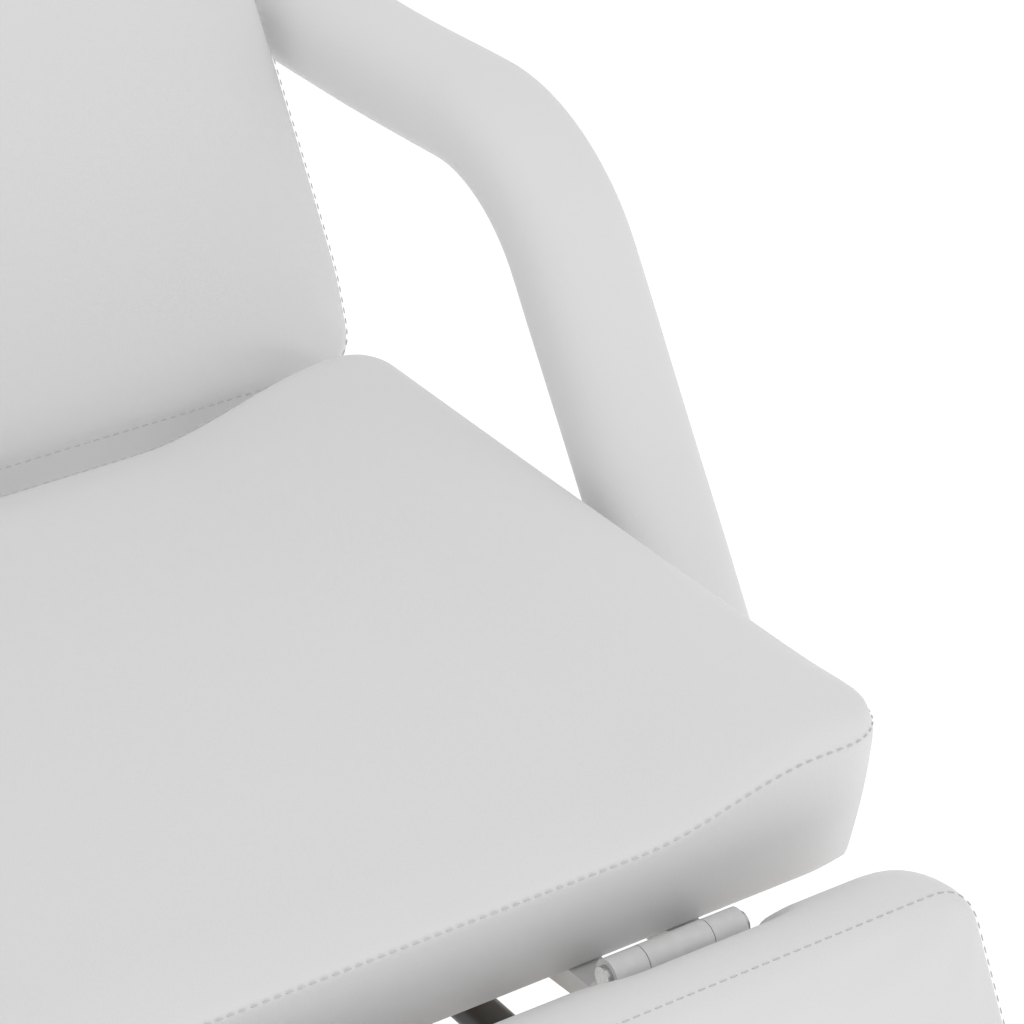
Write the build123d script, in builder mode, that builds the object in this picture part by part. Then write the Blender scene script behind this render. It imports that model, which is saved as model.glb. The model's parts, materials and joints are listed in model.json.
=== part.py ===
"""Facial treatment bed: three upholstered sections on a hydraulic swivel pedestal, in millimetres.

+X is to the right of someone who faces the bed, +Y runs from the leg rest to the backrest, +Z is up.
The origin is on the floor, under the centre of the column. The bed is modelled set up as a chair.
"""

import os
from math import cos, radians, sin, tan

from build123d import *

os.makedirs("parts", exist_ok=True)

# Driving dimensions of the upholstery
SEAM_Z = 600.0  # the seat's front seam above the floor, lift down
SEAT_THICKNESS = 70.0  # underside to front seam
BOLSTER_RISE = 30.0  # side bolsters above the seam
DISH_DEPTH = 26.0  # middle of the seat below the bolsters
SEAT_WIDTH = 580.0
SEAT_DEPTH = 483.0
SEAT_CENTRE_Y = -1.5
SEAT_UNDERCUT = 24.0  # front and back faces lean in towards the bottom
SEAT_CORNER_R = 28.0
BACK_ANGLE = 65.0  # backrest above horizontal, set up as a chair
BACK_THICKNESS = 78.0
BACK_LENGTH = 710.0
BACK_START = -10.0  # lower end of the pad, from the hinge axis
BACK_NARROWER_LOW = 0.0  # backrest's lower end against the seat's width
BACK_WIDER = 12.0  # at its widest
BACK_NARROWER_TOP = 56.0
BACK_WIDE_AT = 90.0
BACK_TOP_R = 70.0
LEG_ANGLE = 62.7  # leg rest below horizontal, set up as a chair
LEG_THICKNESS = 94.0
LEG_LENGTH = 468.0
LEG_NARROWER = 22.0  # leg rest against the seat's width
LEG_CORNER_R = 34.0
LEG_END_RISE = 8.0  # leg pad's upper end past the hinge axis
LEG_SEAM_BACK = 12.0  # its seam, down the leg from that end
BACK_LOW_CHAMFER = 70.0  # slanted lower end of the backrest
PAD_EDGE_R = 14.0
BOARD_THICKNESS = 12.0
BOARD_INSET = 14.0

# Frame
TUBE = 25.0
TUBE_WALL = 2.0
RAIL_WIDTH = TUBE + 5.0
RAIL_INSET = 55.0  # side rails' middle from the seat's side
RAIL_X = SEAT_WIDTH / 2 - RAIL_INSET
SEAT_BOTTOM_Z = SEAM_Z - SEAT_THICKNESS
RAIL_Z = SEAT_BOTTOM_Z - TUBE / 2
RAIL_UNDER_Z = SEAT_BOTTOM_Z - TUBE
SEAT_FRONT_Y = SEAT_CENTRE_Y - SEAT_DEPTH / 2
SEAT_BACK_Y = SEAT_CENTRE_Y + SEAT_DEPTH / 2
RAIL_FRONT_Y = SEAT_FRONT_Y + 64.0
RAIL_BACK_Y = SEAT_BACK_Y - 2.0
BOLT_PITCH = 160.0  # mount plate's bolts, which pass through the middle cross rails
CROSS_RAIL_Y = (RAIL_FRONT_Y + 15.0, -BOLT_PITCH / 2, BOLT_PITCH / 2, RAIL_BACK_Y - 46.0)
PLATE = 6.0
CAP = 3.0

# Hinges: their axes run along X
BACK_PIVOT_Y = SEAT_BACK_Y + 76.0
BACK_PIVOT_DROP = 18.0  # hinge axis below the boards
EAR_R = 15.0
EAR_THICKNESS = 5.0
EYE_R = 14.0
EYE_SIDE_CLEARANCE = 0.5
BACK_PIN_R = 6.0
LEG_PIVOT_Y = SEAT_FRONT_Y - 5.0
LEG_PIVOT_RISE = 13.0  # hinge axis above the boards' underside
HINGE_X = 150.0
HINGE_LENGTH = 78.0
KNUCKLE_R = 9.0
KNUCKLE_LENGTH = 19.5
KNUCKLE_CLEARANCE = 0.5
LEG_PIN_R = 4.0
RUNNING_CLEARANCE = 0.05

# Gas springs: the rod is fixed to the seat frame, the cylinder moves with the crank
GAS_X = 95.0
GAS_CYLINDER_R = 11.0
GAS_ROD_R = 5.0
GAS_BORE_DEPTH = 130.0
GAS_CYLINDER_LENGTH = 180.0
GAS_NECK = 28.0  # slotted eye's pin to the cylinder's end
EYE_WALL = 4.0
EYE_NECK_HEIGHT = 14.0
CRANK_PIN_R = 4.0
LUG_THICKNESS = 5.0
LUG_GAP = 10.0
EYE_PLATE_THICKNESS = 6.0
SLOT_CLEARANCE = 2.5
BACK_CRANK = 80.0
BACK_CRANK_ANGLE = 237.5  # from the backrest's length, about the hinge
BACK_TRAVEL = 65.0
LEG_CRANK = 75.0
LEG_CRANK_ANGLE = 51.15
LEG_TRAVEL_UP = LEG_ANGLE
LEG_TRAVEL_DOWN = 10.0

# Column and base
RAM_R = 25.0
LIFT_TRAVEL = 160.0
CYLINDER_R = 48.0
RAM_GUIDED = 60.0  # stays in the cylinder with the lift up
RAM_SHOWN = 24.0  # below the collar with the lift down
BUSH_LENGTH = 24.0
BUSH_R = RAM_R + 6.0
BASE_R = 300.0
BASE_THICKNESS = 12.0
TRIM_WIDTH = 5.0
TRIM_HEIGHT = 16.0
COVER_WALL = 2.0
COVER_TOP_Z = 52.0
FLANGE_R = 78.0
FLANGE_THICKNESS = 10.0
HUB_R = RAM_R + 20.0
HUB_LENGTH = 59.0
WASHER = 3.0
COLLAR_R = RAM_R + 13.0
COLLAR = 10.0
MOUNT_PLATE = BOLT_PITCH + 50.0
BOLT_R = 5.0
BOLT_HEAD_R = 9.0
BOLT_HEAD = 6.5

# Armrests
ARM_PAD_WIDTH = 68.0
ARM_PAD_HEIGHT = 58.0
ARM_PAD_R = 26.0
ARM_GAP = 11.0  # arm pad to the seat's side
ARM_X = SEAT_WIDTH / 2 + ARM_GAP + ARM_PAD_WIDTH / 2
ARM_HEIGHT = 174.0  # arm's middle above the seat's seam
ARM_Z = SEAM_Z + ARM_HEIGHT
ARM_BACK_Y = 410.0
ARM_CORNER_Y = 137.0
ARM_LEAN = 31.7  # front leg from vertical
ARM_BEND_R = 115.0
ARM_CORE_R = 11.0
ARM_PAD_END_Z = SEAT_BOTTOM_Z + 6.0
SOCKET = 30.0
PLUG = SOCKET - 2 * TUBE_WALL - 1.0
SOCKET_INNER = MOUNT_PLATE / 2 + 15.0
SOCKET_OUTER = SEAT_WIDTH / 2 - 15.0
KNOB_INSET = 13.0  # clamp knob's axis from the socket's mouth
KNOB_X = SOCKET_OUTER - KNOB_INSET
PLUG_INNER = SOCKET_INNER + 2.0
KNOB_R = 18.0
KNOB_STEM_R = 4.0
KNOB_HEIGHT = 14.0
KNOB_DROP = 14.0  # knob head below the socket
KNOB_LOBES = 6

# Release levers
LEVER_R = 6.0
LEVER_X = SOCKET_OUTER + 27.0
LEVER_GRIP_R = 9.0
LEVER_GRIP_LENGTH = 60.0

# Foot pedal
PEDAL_PIVOT_Y = CYLINDER_R + 22.0
PEDAL_PIVOT_Z = 118.0
PEDAL_END_Y = 338.0
PEDAL_WIDTH = 72.0
PEDAL_DEPTH = 46.0
PEDAL_BAR = 16.0
PEDAL_PLATE = 6.0
PEDAL_TREAD = 5.0
PEDAL_PIN_R = 5.0
PEDAL_EYE_R = 11.0
PLUNGER_R = 7.0
PLUNGER_ARM = 24.0  # pump plunger's axis from the pedal's pivot
PLUNGER_GAP = 0.6
PLUNGER_TRAVEL = 9.0
PLUNGER_Y = PEDAL_PIVOT_Y + PLUNGER_ARM

# Headrest
HEAD_WIDTH = 300.0
HEAD_LENGTH = 180.0
HEAD_THICKNESS = 66.0
HEAD_CORNER_R = 55.0
BACK_END = BACK_START + BACK_LENGTH
HEAD_PIVOT = BACK_END + 35.0  # along the backrest, from its hinge
HEAD_PIVOT_RISE = 4.0
HEAD_ROD_X = 70.0
HEAD_ROD_R = 6.0
HEAD_BAR_R = 8.0
HEAD_SOCKET_R = 9.0
HEAD_SOCKET_LENGTH = 95.0
HEAD_ROD_IN_SOCKET = 90.0

SIDES = (-1, 1)
PLATE_BOTTOM_Z = RAIL_UNDER_Z - PLATE
HUB_BOTTOM_Z = PLATE_BOTTOM_Z - HUB_LENGTH
CYLINDER_TOP_Z = HUB_BOTTOM_Z - WASHER - COLLAR - RAM_SHOWN - 3.0
BACK_PIVOT_Z = SEAT_BOTTOM_Z - BACK_PIVOT_DROP
LEG_PIVOT_Z = SEAT_BOTTOM_Z + LEG_PIVOT_RISE

# Each tilting section's own plane: local y along the section (the leg rest runs to -y), z out of its face
BACK = Plane(origin=(0, BACK_PIVOT_Y, BACK_PIVOT_Z), x_dir=(1, 0, 0),
             z_dir=(0, -sin(radians(BACK_ANGLE)), cos(radians(BACK_ANGLE))))
LEG = Plane(origin=(0, LEG_PIVOT_Y, LEG_PIVOT_Z), x_dir=(1, 0, 0),
            z_dir=(0, -sin(radians(LEG_ANGLE)), cos(radians(LEG_ANGLE))))


def side_plane(section, x):
    """The section's side view at a place along X: sketch x is its length, sketch y its face normal."""
    return Plane(origin=section.from_local_coords((x, 0, 0)), x_dir=section.y_dir, z_dir=section.x_dir)


def save(piece, name):
    """Labels a finished part and writes it as one STEP file."""
    piece.label = name
    export_step(piece, f"parts/{name}.step")


def group(pieces):
    """Several separate solids of one kind as one node."""
    return Compound(children=[Solid(solid.wrapped) for piece in pieces for solid in piece.solids()])


def square_tube(start, end, width=TUBE, height=TUBE, wall=TUBE_WALL):
    """A rectangular tube from start to end, its width across the X axis or, if it runs along X, along Y."""
    run = Vector(end) - Vector(start)
    across = (0, 1, 0) if abs(run.Y) < 1e-6 and abs(run.Z) < 1e-6 else (1, 0, 0)
    with BuildPart() as tube:
        with BuildSketch(Plane(origin=start, x_dir=across, z_dir=run.normalized())):
            Rectangle(width, height)
            Rectangle(width - 2 * wall, height - 2 * wall, mode=Mode.SUBTRACT)
        extrude(amount=run.length)
    return tube.part


def rod(start, end, radius, bore=0.0):
    """A round rod or, with a bore, a round tube."""
    run = Vector(end) - Vector(start)
    with BuildPart() as bar:
        with BuildSketch(Plane(origin=start, z_dir=run.normalized())):
            Circle(radius)
            if bore:
                Circle(bore, mode=Mode.SUBTRACT)
        extrude(amount=run.length)
    return bar.part


def slab(plane, outline, thickness):
    """A flat piece cut from a closed outline, from the plane along its normal."""
    with BuildPart() as plate:
        with BuildSketch(plane):
            with BuildLine():
                Polyline(*outline, close=True)
            make_face()
        extrude(amount=thickness)
    return plate.part


def padded_section(plane, plan, low, high, side, board):
    """An upholstered pad: its plan outline carried from low to high along the plane's normal, cut to its side
    profile, with a pocket in its underside that holds the board."""
    with BuildPart() as pad:
        with BuildSketch(plane.offset(low)):
            add(plan)
        extrude(amount=high - low)
        with BuildSketch(side_plane(plane, 0)):
            add(side)
        extrude(amount=SEAT_WIDTH, both=True, mode=Mode.INTERSECT)
        with BuildSketch(plane.offset(low)):
            add(board)
        extrude(amount=BOARD_THICKNESS, mode=Mode.SUBTRACT)
    return pad.part


def board_for(plane, low, outline):
    """The plywood board in the pad's underside."""
    with BuildPart() as board:
        with BuildSketch(plane.offset(low)):
            add(outline)
        extrude(amount=BOARD_THICKNESS)
    return board.part


# ---------------------------------------------------------------- base and column
with BuildPart() as base_plate:
    with BuildSketch():
        Circle(BASE_R)
    extrude(amount=BASE_THICKNESS)
    with PolarLocations(FLANGE_R - 14, 4, start_angle=45):
        with Locations((0, 0, BASE_THICKNESS)):
            Hole(BOLT_R, depth=BASE_THICKNESS - 3)
save(base_plate.part, "base_plate")

with BuildPart() as base_edge_trim:
    with BuildSketch():
        Circle(BASE_R + TRIM_WIDTH)
        Circle(BASE_R, mode=Mode.SUBTRACT)
    extrude(amount=TRIM_HEIGHT)
    top_rims = base_edge_trim.edges().filter_by(GeomType.CIRCLE).group_by(Axis.Z)[-1]
    fillet(top_rims.sort_by(SortBy.RADIUS)[-1], 2)
save(base_edge_trim.part, "base_edge_trim")

with BuildPart() as base_cover:
    with BuildSketch(Plane.XZ):
        with BuildLine():
            rim = Line((BASE_R - 1, BASE_THICKNESS), (BASE_R - 1, BASE_THICKNESS + 2))
            dome = Spline(rim @ 1, (BASE_R * 0.62, COVER_TOP_Z * 0.62), (FLANGE_R + 24, COVER_TOP_Z - 3),
                          (CYLINDER_R + 2, COVER_TOP_Z), tangents=[(-1, 0.09), (-1, 0)])
            Line(dome @ 1, (CYLINDER_R + 2, COVER_TOP_Z - COVER_WALL))
            under = Spline((CYLINDER_R + 2, COVER_TOP_Z - COVER_WALL),
                           (FLANGE_R + 24, COVER_TOP_Z - 3 - COVER_WALL),
                           (BASE_R * 0.62, COVER_TOP_Z * 0.62 - COVER_WALL), (BASE_R - 9, BASE_THICKNESS),
                           tangents=[(1, 0), (1, -0.09)])
            Line(under @ 1, rim @ 0)
        make_face()
    revolve(axis=Axis.Z)
save(base_cover.part, "base_cover")

with BuildPart() as pump_cylinder:
    with BuildSketch(Plane.XY.offset(BASE_THICKNESS)):
        Circle(FLANGE_R)
    extrude(amount=FLANGE_THICKNESS)
    with BuildSketch(Plane.XY.offset(BASE_THICKNESS)):
        Circle(CYLINDER_R)
    extrude(amount=CYLINDER_TOP_Z - BASE_THICKNESS)
    fillet(pump_cylinder.edges().filter_by(GeomType.CIRCLE).group_by(Axis.Z)[-1], 3)
    with BuildSketch(Plane.XY.offset(CYLINDER_TOP_Z)):
        Circle(RAM_R + 2)
    extrude(amount=-(CYLINDER_TOP_Z - BASE_THICKNESS - 30), mode=Mode.SUBTRACT)
    with BuildSketch(Plane.XY.offset(CYLINDER_TOP_Z)):
        Circle(BUSH_R)
    extrude(amount=-BUSH_LENGTH, mode=Mode.SUBTRACT)
    with PolarLocations(FLANGE_R - 14, 4, start_angle=45):
        with Locations((0, 0, BASE_THICKNESS + FLANGE_THICKNESS)):
            Hole(BOLT_R, depth=FLANGE_THICKNESS)
save(pump_cylinder.part, "pump_cylinder")

guide_bush = rod((0, 0, CYLINDER_TOP_Z - BUSH_LENGTH), (0, 0, CYLINDER_TOP_Z + 2), BUSH_R,
                 RAM_R + RUNNING_CLEARANCE)
save(guide_bush, "guide_bush")

with BuildPart() as base_bolt:
    with BuildSketch(Plane.XY.offset(BASE_THICKNESS + FLANGE_THICKNESS)):
        RegularPolygon(BOLT_HEAD_R, 6)
    extrude(amount=BOLT_HEAD)
    with BuildSketch(Plane.XY.offset(3)):
        Circle(BOLT_R)
    extrude(amount=BASE_THICKNESS + FLANGE_THICKNESS - 3)
base_bolts = [location * base_bolt.part for location in PolarLocations(FLANGE_R - 14, 4, start_angle=45)]
save(group(base_bolts), "base_bolts")

PUMP_HALF = 30.0
PUMP_EAR = 9.0
PUMP_BOTTOM_Z = COVER_TOP_Z + 2
PUMP_TOP_Z = PEDAL_PIVOT_Z - PEDAL_EYE_R - 11
PUMP_BACK_Y = PLUNGER_Y + 14
PLUNGER_BORE = 26.0
with BuildPart() as pump_block:
    with BuildSketch(Plane.XY.offset(PUMP_BOTTOM_Z)):
        with Locations((0, (CYLINDER_R / 2 + PUMP_BACK_Y) / 2)):
            Rectangle(2 * PUMP_HALF, PUMP_BACK_Y - CYLINDER_R / 2)
        Circle(CYLINDER_R, mode=Mode.SUBTRACT)
    extrude(amount=PUMP_TOP_Z - PUMP_BOTTOM_Z)
    for x in (-PUMP_HALF, PUMP_HALF - PUMP_EAR):
        with BuildSketch(Plane.YZ.offset(x)):
            with Locations((PEDAL_PIVOT_Y, PEDAL_PIVOT_Z)):
                Circle(PEDAL_EYE_R + 1)
            with Locations((PEDAL_PIVOT_Y, (PEDAL_PIVOT_Z + PUMP_TOP_Z) / 2)):
                Rectangle(2 * PEDAL_EYE_R + 2, PEDAL_PIVOT_Z - PUMP_TOP_Z)
            with Locations((PEDAL_PIVOT_Y, PEDAL_PIVOT_Z)):
                Circle(PEDAL_PIN_R, mode=Mode.SUBTRACT)
        extrude(amount=PUMP_EAR)
    with Locations((0, PLUNGER_Y, PUMP_TOP_Z)):
        Hole(PLUNGER_R + RUNNING_CLEARANCE, depth=PLUNGER_BORE)
save(pump_block.part, "pump_block")

pedal_pin = rod((-PUMP_HALF - 2, PEDAL_PIVOT_Y, PEDAL_PIVOT_Z), (PUMP_HALF + 2, PEDAL_PIVOT_Y, PEDAL_PIVOT_Z),
                PEDAL_PIN_R)
save(pedal_pin, "pedal_pin")

PLUNGER_TOP_Z = PEDAL_PIVOT_Z - PEDAL_BAR / 2 - PLUNGER_GAP
with BuildPart() as pump_plunger:
    add(rod((0, PLUNGER_Y, PUMP_TOP_Z - PLUNGER_BORE + PLUNGER_TRAVEL + 2), (0, PLUNGER_Y, PLUNGER_TOP_Z),
            PLUNGER_R))
    fillet(pump_plunger.edges().filter_by(GeomType.CIRCLE).group_by(Axis.Z)[-1], PLUNGER_R * 0.6)
save(pump_plunger.part, "pump_plunger")

with BuildPart() as pump_pedal:
    with BuildSketch(Plane.YZ.offset(-PEDAL_BAR / 2)):
        with Locations((PEDAL_PIVOT_Y, PEDAL_PIVOT_Z)):
            Circle(PEDAL_EYE_R)
        with Locations(((PEDAL_PIVOT_Y + PEDAL_END_Y - PEDAL_DEPTH) / 2, PEDAL_PIVOT_Z)):
            Rectangle(PEDAL_END_Y - PEDAL_DEPTH - PEDAL_PIVOT_Y, PEDAL_BAR)
        with Locations((PEDAL_PIVOT_Y, PEDAL_PIVOT_Z)):
            Circle(PEDAL_PIN_R + RUNNING_CLEARANCE, mode=Mode.SUBTRACT)
    extrude(amount=PEDAL_BAR)
    with BuildSketch(Plane.XY.offset(PEDAL_PIVOT_Z - PEDAL_PLATE / 2)):
        with Locations((0, PEDAL_END_Y - PEDAL_DEPTH / 2)):
            RectangleRounded(PEDAL_WIDTH, PEDAL_DEPTH, 8)
    extrude(amount=PEDAL_PLATE)
save(pump_pedal.part, "pump_pedal")

with BuildPart() as pedal_rubber:
    with BuildSketch(Plane.XY.offset(PEDAL_PIVOT_Z + PEDAL_PLATE / 2)):
        with Locations((0, PEDAL_END_Y - PEDAL_DEPTH / 2)):
            RectangleRounded(PEDAL_WIDTH - 4, PEDAL_DEPTH - 4, 7)
    extrude(amount=PEDAL_TREAD)
    with BuildSketch(Plane.XY.offset(PEDAL_PIVOT_Z + PEDAL_PLATE / 2 + PEDAL_TREAD)):
        with Locations((0, PEDAL_END_Y - PEDAL_DEPTH / 2)):
            with GridLocations(9, 0, 7, 1):
                SlotOverall(PEDAL_DEPTH - 14, 4, rotation=90)
    extrude(amount=-2, mode=Mode.SUBTRACT)
save(pedal_rubber.part, "pedal_rubber")

# ---------------------------------------------------------------- lift
RAM_TOP_Z = HUB_BOTTOM_Z + 48
RAM_BOTTOM_Z = CYLINDER_TOP_Z - LIFT_TRAVEL - RAM_GUIDED
with BuildPart() as lift_ram:
    with BuildSketch(Plane.XY.offset(RAM_BOTTOM_Z)):
        Circle(RAM_R)
    extrude(amount=RAM_TOP_Z - RAM_BOTTOM_Z)
    chamfer(lift_ram.edges().filter_by(GeomType.CIRCLE).group_by(Axis.Z)[-1], 2)
    with BuildSketch(Plane.XY.offset(HUB_BOTTOM_Z - WASHER - COLLAR)):
        Circle(COLLAR_R)
    extrude(amount=COLLAR)
save(lift_ram.part, "lift_ram")

swivel_washer = rod((0, 0, HUB_BOTTOM_Z - WASHER), (0, 0, HUB_BOTTOM_Z - 0.2), COLLAR_R, RAM_R + 0.2)
save(swivel_washer, "swivel_washer")

# ---------------------------------------------------------------- seat frame
with BuildPart() as seat_hub:
    with BuildSketch(Plane.XY.offset(HUB_BOTTOM_Z)):
        Circle(HUB_R)
    extrude(amount=PLATE_BOTTOM_Z - HUB_BOTTOM_Z)
    with BuildSketch(Plane.XY.offset(HUB_BOTTOM_Z)):
        Circle(RAM_R + RUNNING_CLEARANCE)
    extrude(amount=RAM_TOP_Z - HUB_BOTTOM_Z + 1, mode=Mode.SUBTRACT)
    chamfer(seat_hub.edges().filter_by(GeomType.CIRCLE).group_by(Axis.Z)[0].sort_by(SortBy.RADIUS)[-1], 4)
save(seat_hub.part, "seat_hub")

with BuildPart() as seat_mount_plate:
    with BuildSketch(Plane.XY.offset(PLATE_BOTTOM_Z)):
        RectangleRounded(MOUNT_PLATE, MOUNT_PLATE, 16)
        with GridLocations(BOLT_PITCH, BOLT_PITCH, 2, 2):
            Circle(BOLT_R, mode=Mode.SUBTRACT)
    extrude(amount=PLATE)
save(seat_mount_plate.part, "seat_mount_plate")

with BuildPart() as mount_bolt:
    with BuildSketch(Plane.XY.offset(PLATE_BOTTOM_Z - BOLT_HEAD)):
        RegularPolygon(BOLT_HEAD_R, 6)
    extrude(amount=BOLT_HEAD)
    with BuildSketch(Plane.XY.offset(PLATE_BOTTOM_Z)):
        Circle(BOLT_R)
    extrude(amount=PLATE + TUBE)
mount_bolts = [location * mount_bolt.part for location in GridLocations(BOLT_PITCH, BOLT_PITCH, 2, 2)]
save(group(mount_bolts), "mount_bolts")

side_rails = [square_tube((side * RAIL_X, RAIL_FRONT_Y, RAIL_Z), (side * RAIL_X, RAIL_BACK_Y, RAIL_Z),
                          RAIL_WIDTH)
              for side in SIDES]
save(group(side_rails), "seat_side_rails")

INNER_X = RAIL_X - RAIL_WIDTH / 2
cross_rails = []
for place, y in enumerate(CROSS_RAIL_Y):
    with BuildPart() as cross_rail:
        add(square_tube((-INNER_X, y, RAIL_Z), (INNER_X, y, RAIL_Z)))
        if place in (1, 2):
            with Locations(*[(side * BOLT_PITCH / 2, y, SEAT_BOTTOM_Z) for side in SIDES]):
                Hole(BOLT_R, depth=TUBE)
    cross_rails.append(cross_rail.part)
save(group(cross_rails), "seat_cross_rails")

rail_caps = []
for side in SIDES:
    for y, outward in ((RAIL_FRONT_Y, -1), (RAIL_BACK_Y, 1)):
        with BuildPart() as rail_cap:
            rail_end = (side * RAIL_X, y, RAIL_Z)
            with BuildSketch(Plane(origin=rail_end, x_dir=(1, 0, 0), z_dir=(0, outward, 0))):
                RectangleRounded(RAIL_WIDTH, TUBE, 2)
            extrude(amount=CAP)
            with BuildSketch(Plane(origin=rail_end, x_dir=(1, 0, 0), z_dir=(0, -outward, 0))):
                Rectangle(RAIL_WIDTH - 2 * TUBE_WALL, TUBE - 2 * TUBE_WALL)
            extrude(amount=3 * CAP)
        rail_caps.append(rail_cap.part)
save(group(rail_caps), "rail_end_caps")

with BuildSketch() as seat_plan:
    RectangleRounded(SEAT_WIDTH, SEAT_DEPTH, SEAT_CORNER_R)
with BuildSketch() as seat_side:
    with BuildLine():
        Polyline((-SEAT_DEPTH / 2 + SEAT_UNDERCUT, 0), (-SEAT_DEPTH / 2, SEAT_THICKNESS),
                 (-SEAT_DEPTH / 2 + PAD_EDGE_R, SEAT_THICKNESS + BOLSTER_RISE),
                 (SEAT_DEPTH / 2 - PAD_EDGE_R, SEAT_THICKNESS + BOLSTER_RISE),
                 (SEAT_DEPTH / 2, SEAT_THICKNESS), (SEAT_DEPTH / 2 - SEAT_UNDERCUT, 0), close=True)
    make_face()
with BuildSketch() as seat_board_plan:
    RectangleRounded(SEAT_WIDTH - 2 * BOARD_INSET, SEAT_DEPTH - 2 * (BOARD_INSET + SEAT_UNDERCUT),
                     SEAT_CORNER_R / 2)
SEAT = Plane(origin=(0, SEAT_CENTRE_Y, SEAT_BOTTOM_Z), x_dir=(1, 0, 0), z_dir=(0, 0, 1))
seat_block = padded_section(SEAT, seat_plan.sketch, 0, SEAT_THICKNESS + BOLSTER_RISE, seat_side.sketch,
                            seat_board_plan.sketch)
CREST_X = SEAT_WIDTH / 2 - 38
with BuildPart() as seat_cushion:
    add(seat_block)
    with BuildSketch(Plane(origin=(0, SEAT_BACK_Y, SEAT_BOTTOM_Z), x_dir=(1, 0, 0), z_dir=(0, -1, 0))):
        with BuildLine():
            top = SEAT_THICKNESS + BOLSTER_RISE
            dish = ThreePointArc((-CREST_X, -top), (0, DISH_DEPTH - top), (CREST_X, -top))
            Polyline(dish @ 1, (CREST_X, -top - 20), (-CREST_X, -top - 20), dish @ 0)
        make_face()
    extrude(amount=SEAT_DEPTH, mode=Mode.SUBTRACT)
save(seat_cushion.part, "seat_cushion")
save(board_for(SEAT, 0, seat_board_plan.sketch), "seat_board")

# ---------------------------------------------------------------- backrest hinge, seat side
EAR_IN = RAIL_WIDTH / 2
EAR_ROOT_Y = CROSS_RAIL_Y[3] + TUBE / 2 + 3
ear_outline = [(EAR_ROOT_Y, RAIL_UNDER_Z + 2), (EAR_ROOT_Y, SEAT_BOTTOM_Z - 4),
               (RAIL_BACK_Y, SEAT_BOTTOM_Z - 4), (BACK_PIVOT_Y - 34, BACK_PIVOT_Z + 6),
               (BACK_PIVOT_Y, BACK_PIVOT_Z + 6), (BACK_PIVOT_Y, BACK_PIVOT_Z - EAR_R)]
ears = []
for side in SIDES:
    for offset in (-EAR_IN - EAR_THICKNESS, EAR_IN):
        with BuildPart() as ear:
            with BuildSketch(Plane.YZ.offset(side * RAIL_X + offset)):
                with Locations((BACK_PIVOT_Y, BACK_PIVOT_Z)):
                    Circle(EAR_R)
                with BuildLine():
                    Polyline(*ear_outline, close=True)
                make_face()
                with Locations((BACK_PIVOT_Y, BACK_PIVOT_Z)):
                    Circle(BACK_PIN_R, mode=Mode.SUBTRACT)
            extrude(amount=EAR_THICKNESS)
        ears.append(ear.part)
save(group(ears), "backrest_hinge_ears")

PIN_HALF = EAR_IN + EAR_THICKNESS
back_pins = []
for side in SIDES:
    with BuildPart() as back_pin:
        add(rod((side * RAIL_X - PIN_HALF, BACK_PIVOT_Y, BACK_PIVOT_Z),
                (side * RAIL_X + PIN_HALF, BACK_PIVOT_Y, BACK_PIVOT_Z), BACK_PIN_R))
        for end in SIDES:
            add(rod((side * RAIL_X + end * PIN_HALF, BACK_PIVOT_Y, BACK_PIVOT_Z),
                    (side * RAIL_X + end * (PIN_HALF + 4), BACK_PIVOT_Y, BACK_PIVOT_Z), BACK_PIN_R + 3))
    back_pins.append(back_pin.part)
save(group(back_pins), "backrest_hinge_pins")

# ---------------------------------------------------------------- leg rest hinge
FRONT_RAIL_FACE_Y = CROSS_RAIL_Y[0] - TUBE / 2


def hinge_leaf(plane_at, arm, flange, knuckle_spans, centre_x):
    """One half of a leg rest hinge: a flange over the whole length, and arms that carry the knuckles."""
    with BuildPart() as leaf:
        with BuildSketch(plane_at(centre_x - HINGE_LENGTH / 2)):
            with BuildLine():
                Polyline(*flange, close=True)
            make_face()
        extrude(amount=HINGE_LENGTH)
        for low, high in knuckle_spans:
            with BuildSketch(plane_at(centre_x + low)):
                with Locations(knuckle_centre[plane_at]):
                    Circle(KNUCKLE_R)
                with BuildLine():
                    Polyline(*arm, close=True)
                make_face()
                with Locations(knuckle_centre[plane_at]):
                    Circle(LEG_PIN_R + RUNNING_CLEARANCE, mode=Mode.SUBTRACT)
            extrude(amount=high - low)
    return leaf.part


def world_side_at(x):
    """The seat frame's side view: sketch x is Y, sketch y is Z."""
    return Plane.YZ.offset(x)


def leg_side_at(x):
    """The leg rest's side view, with the hinge axis at its origin."""
    return side_plane(LEG, x)


knuckle_centre = {world_side_at: (LEG_PIVOT_Y, LEG_PIVOT_Z), leg_side_at: (0, 0)}
LEG_LOW = -LEG_PIVOT_RISE
LEG_CROSS_NEAR = -58.0  # clear of the slotted eye over the whole travel
seat_flange = [(FRONT_RAIL_FACE_Y, RAIL_UNDER_Z + 1), (FRONT_RAIL_FACE_Y, SEAT_BOTTOM_Z - 1),
               (FRONT_RAIL_FACE_Y - 4, SEAT_BOTTOM_Z - 1), (FRONT_RAIL_FACE_Y - 4, RAIL_UNDER_Z + 1)]
seat_arm = [(FRONT_RAIL_FACE_Y - 2, SEAT_BOTTOM_Z - 18), (FRONT_RAIL_FACE_Y - 2, SEAT_BOTTOM_Z - 2),
            (LEG_PIVOT_Y + 15, SEAT_BOTTOM_Z - 2), (LEG_PIVOT_Y + 4, LEG_PIVOT_Z),
            (LEG_PIVOT_Y - 3, LEG_PIVOT_Z - 8), (LEG_PIVOT_Y + 16, SEAT_BOTTOM_Z - 14)]
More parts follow.
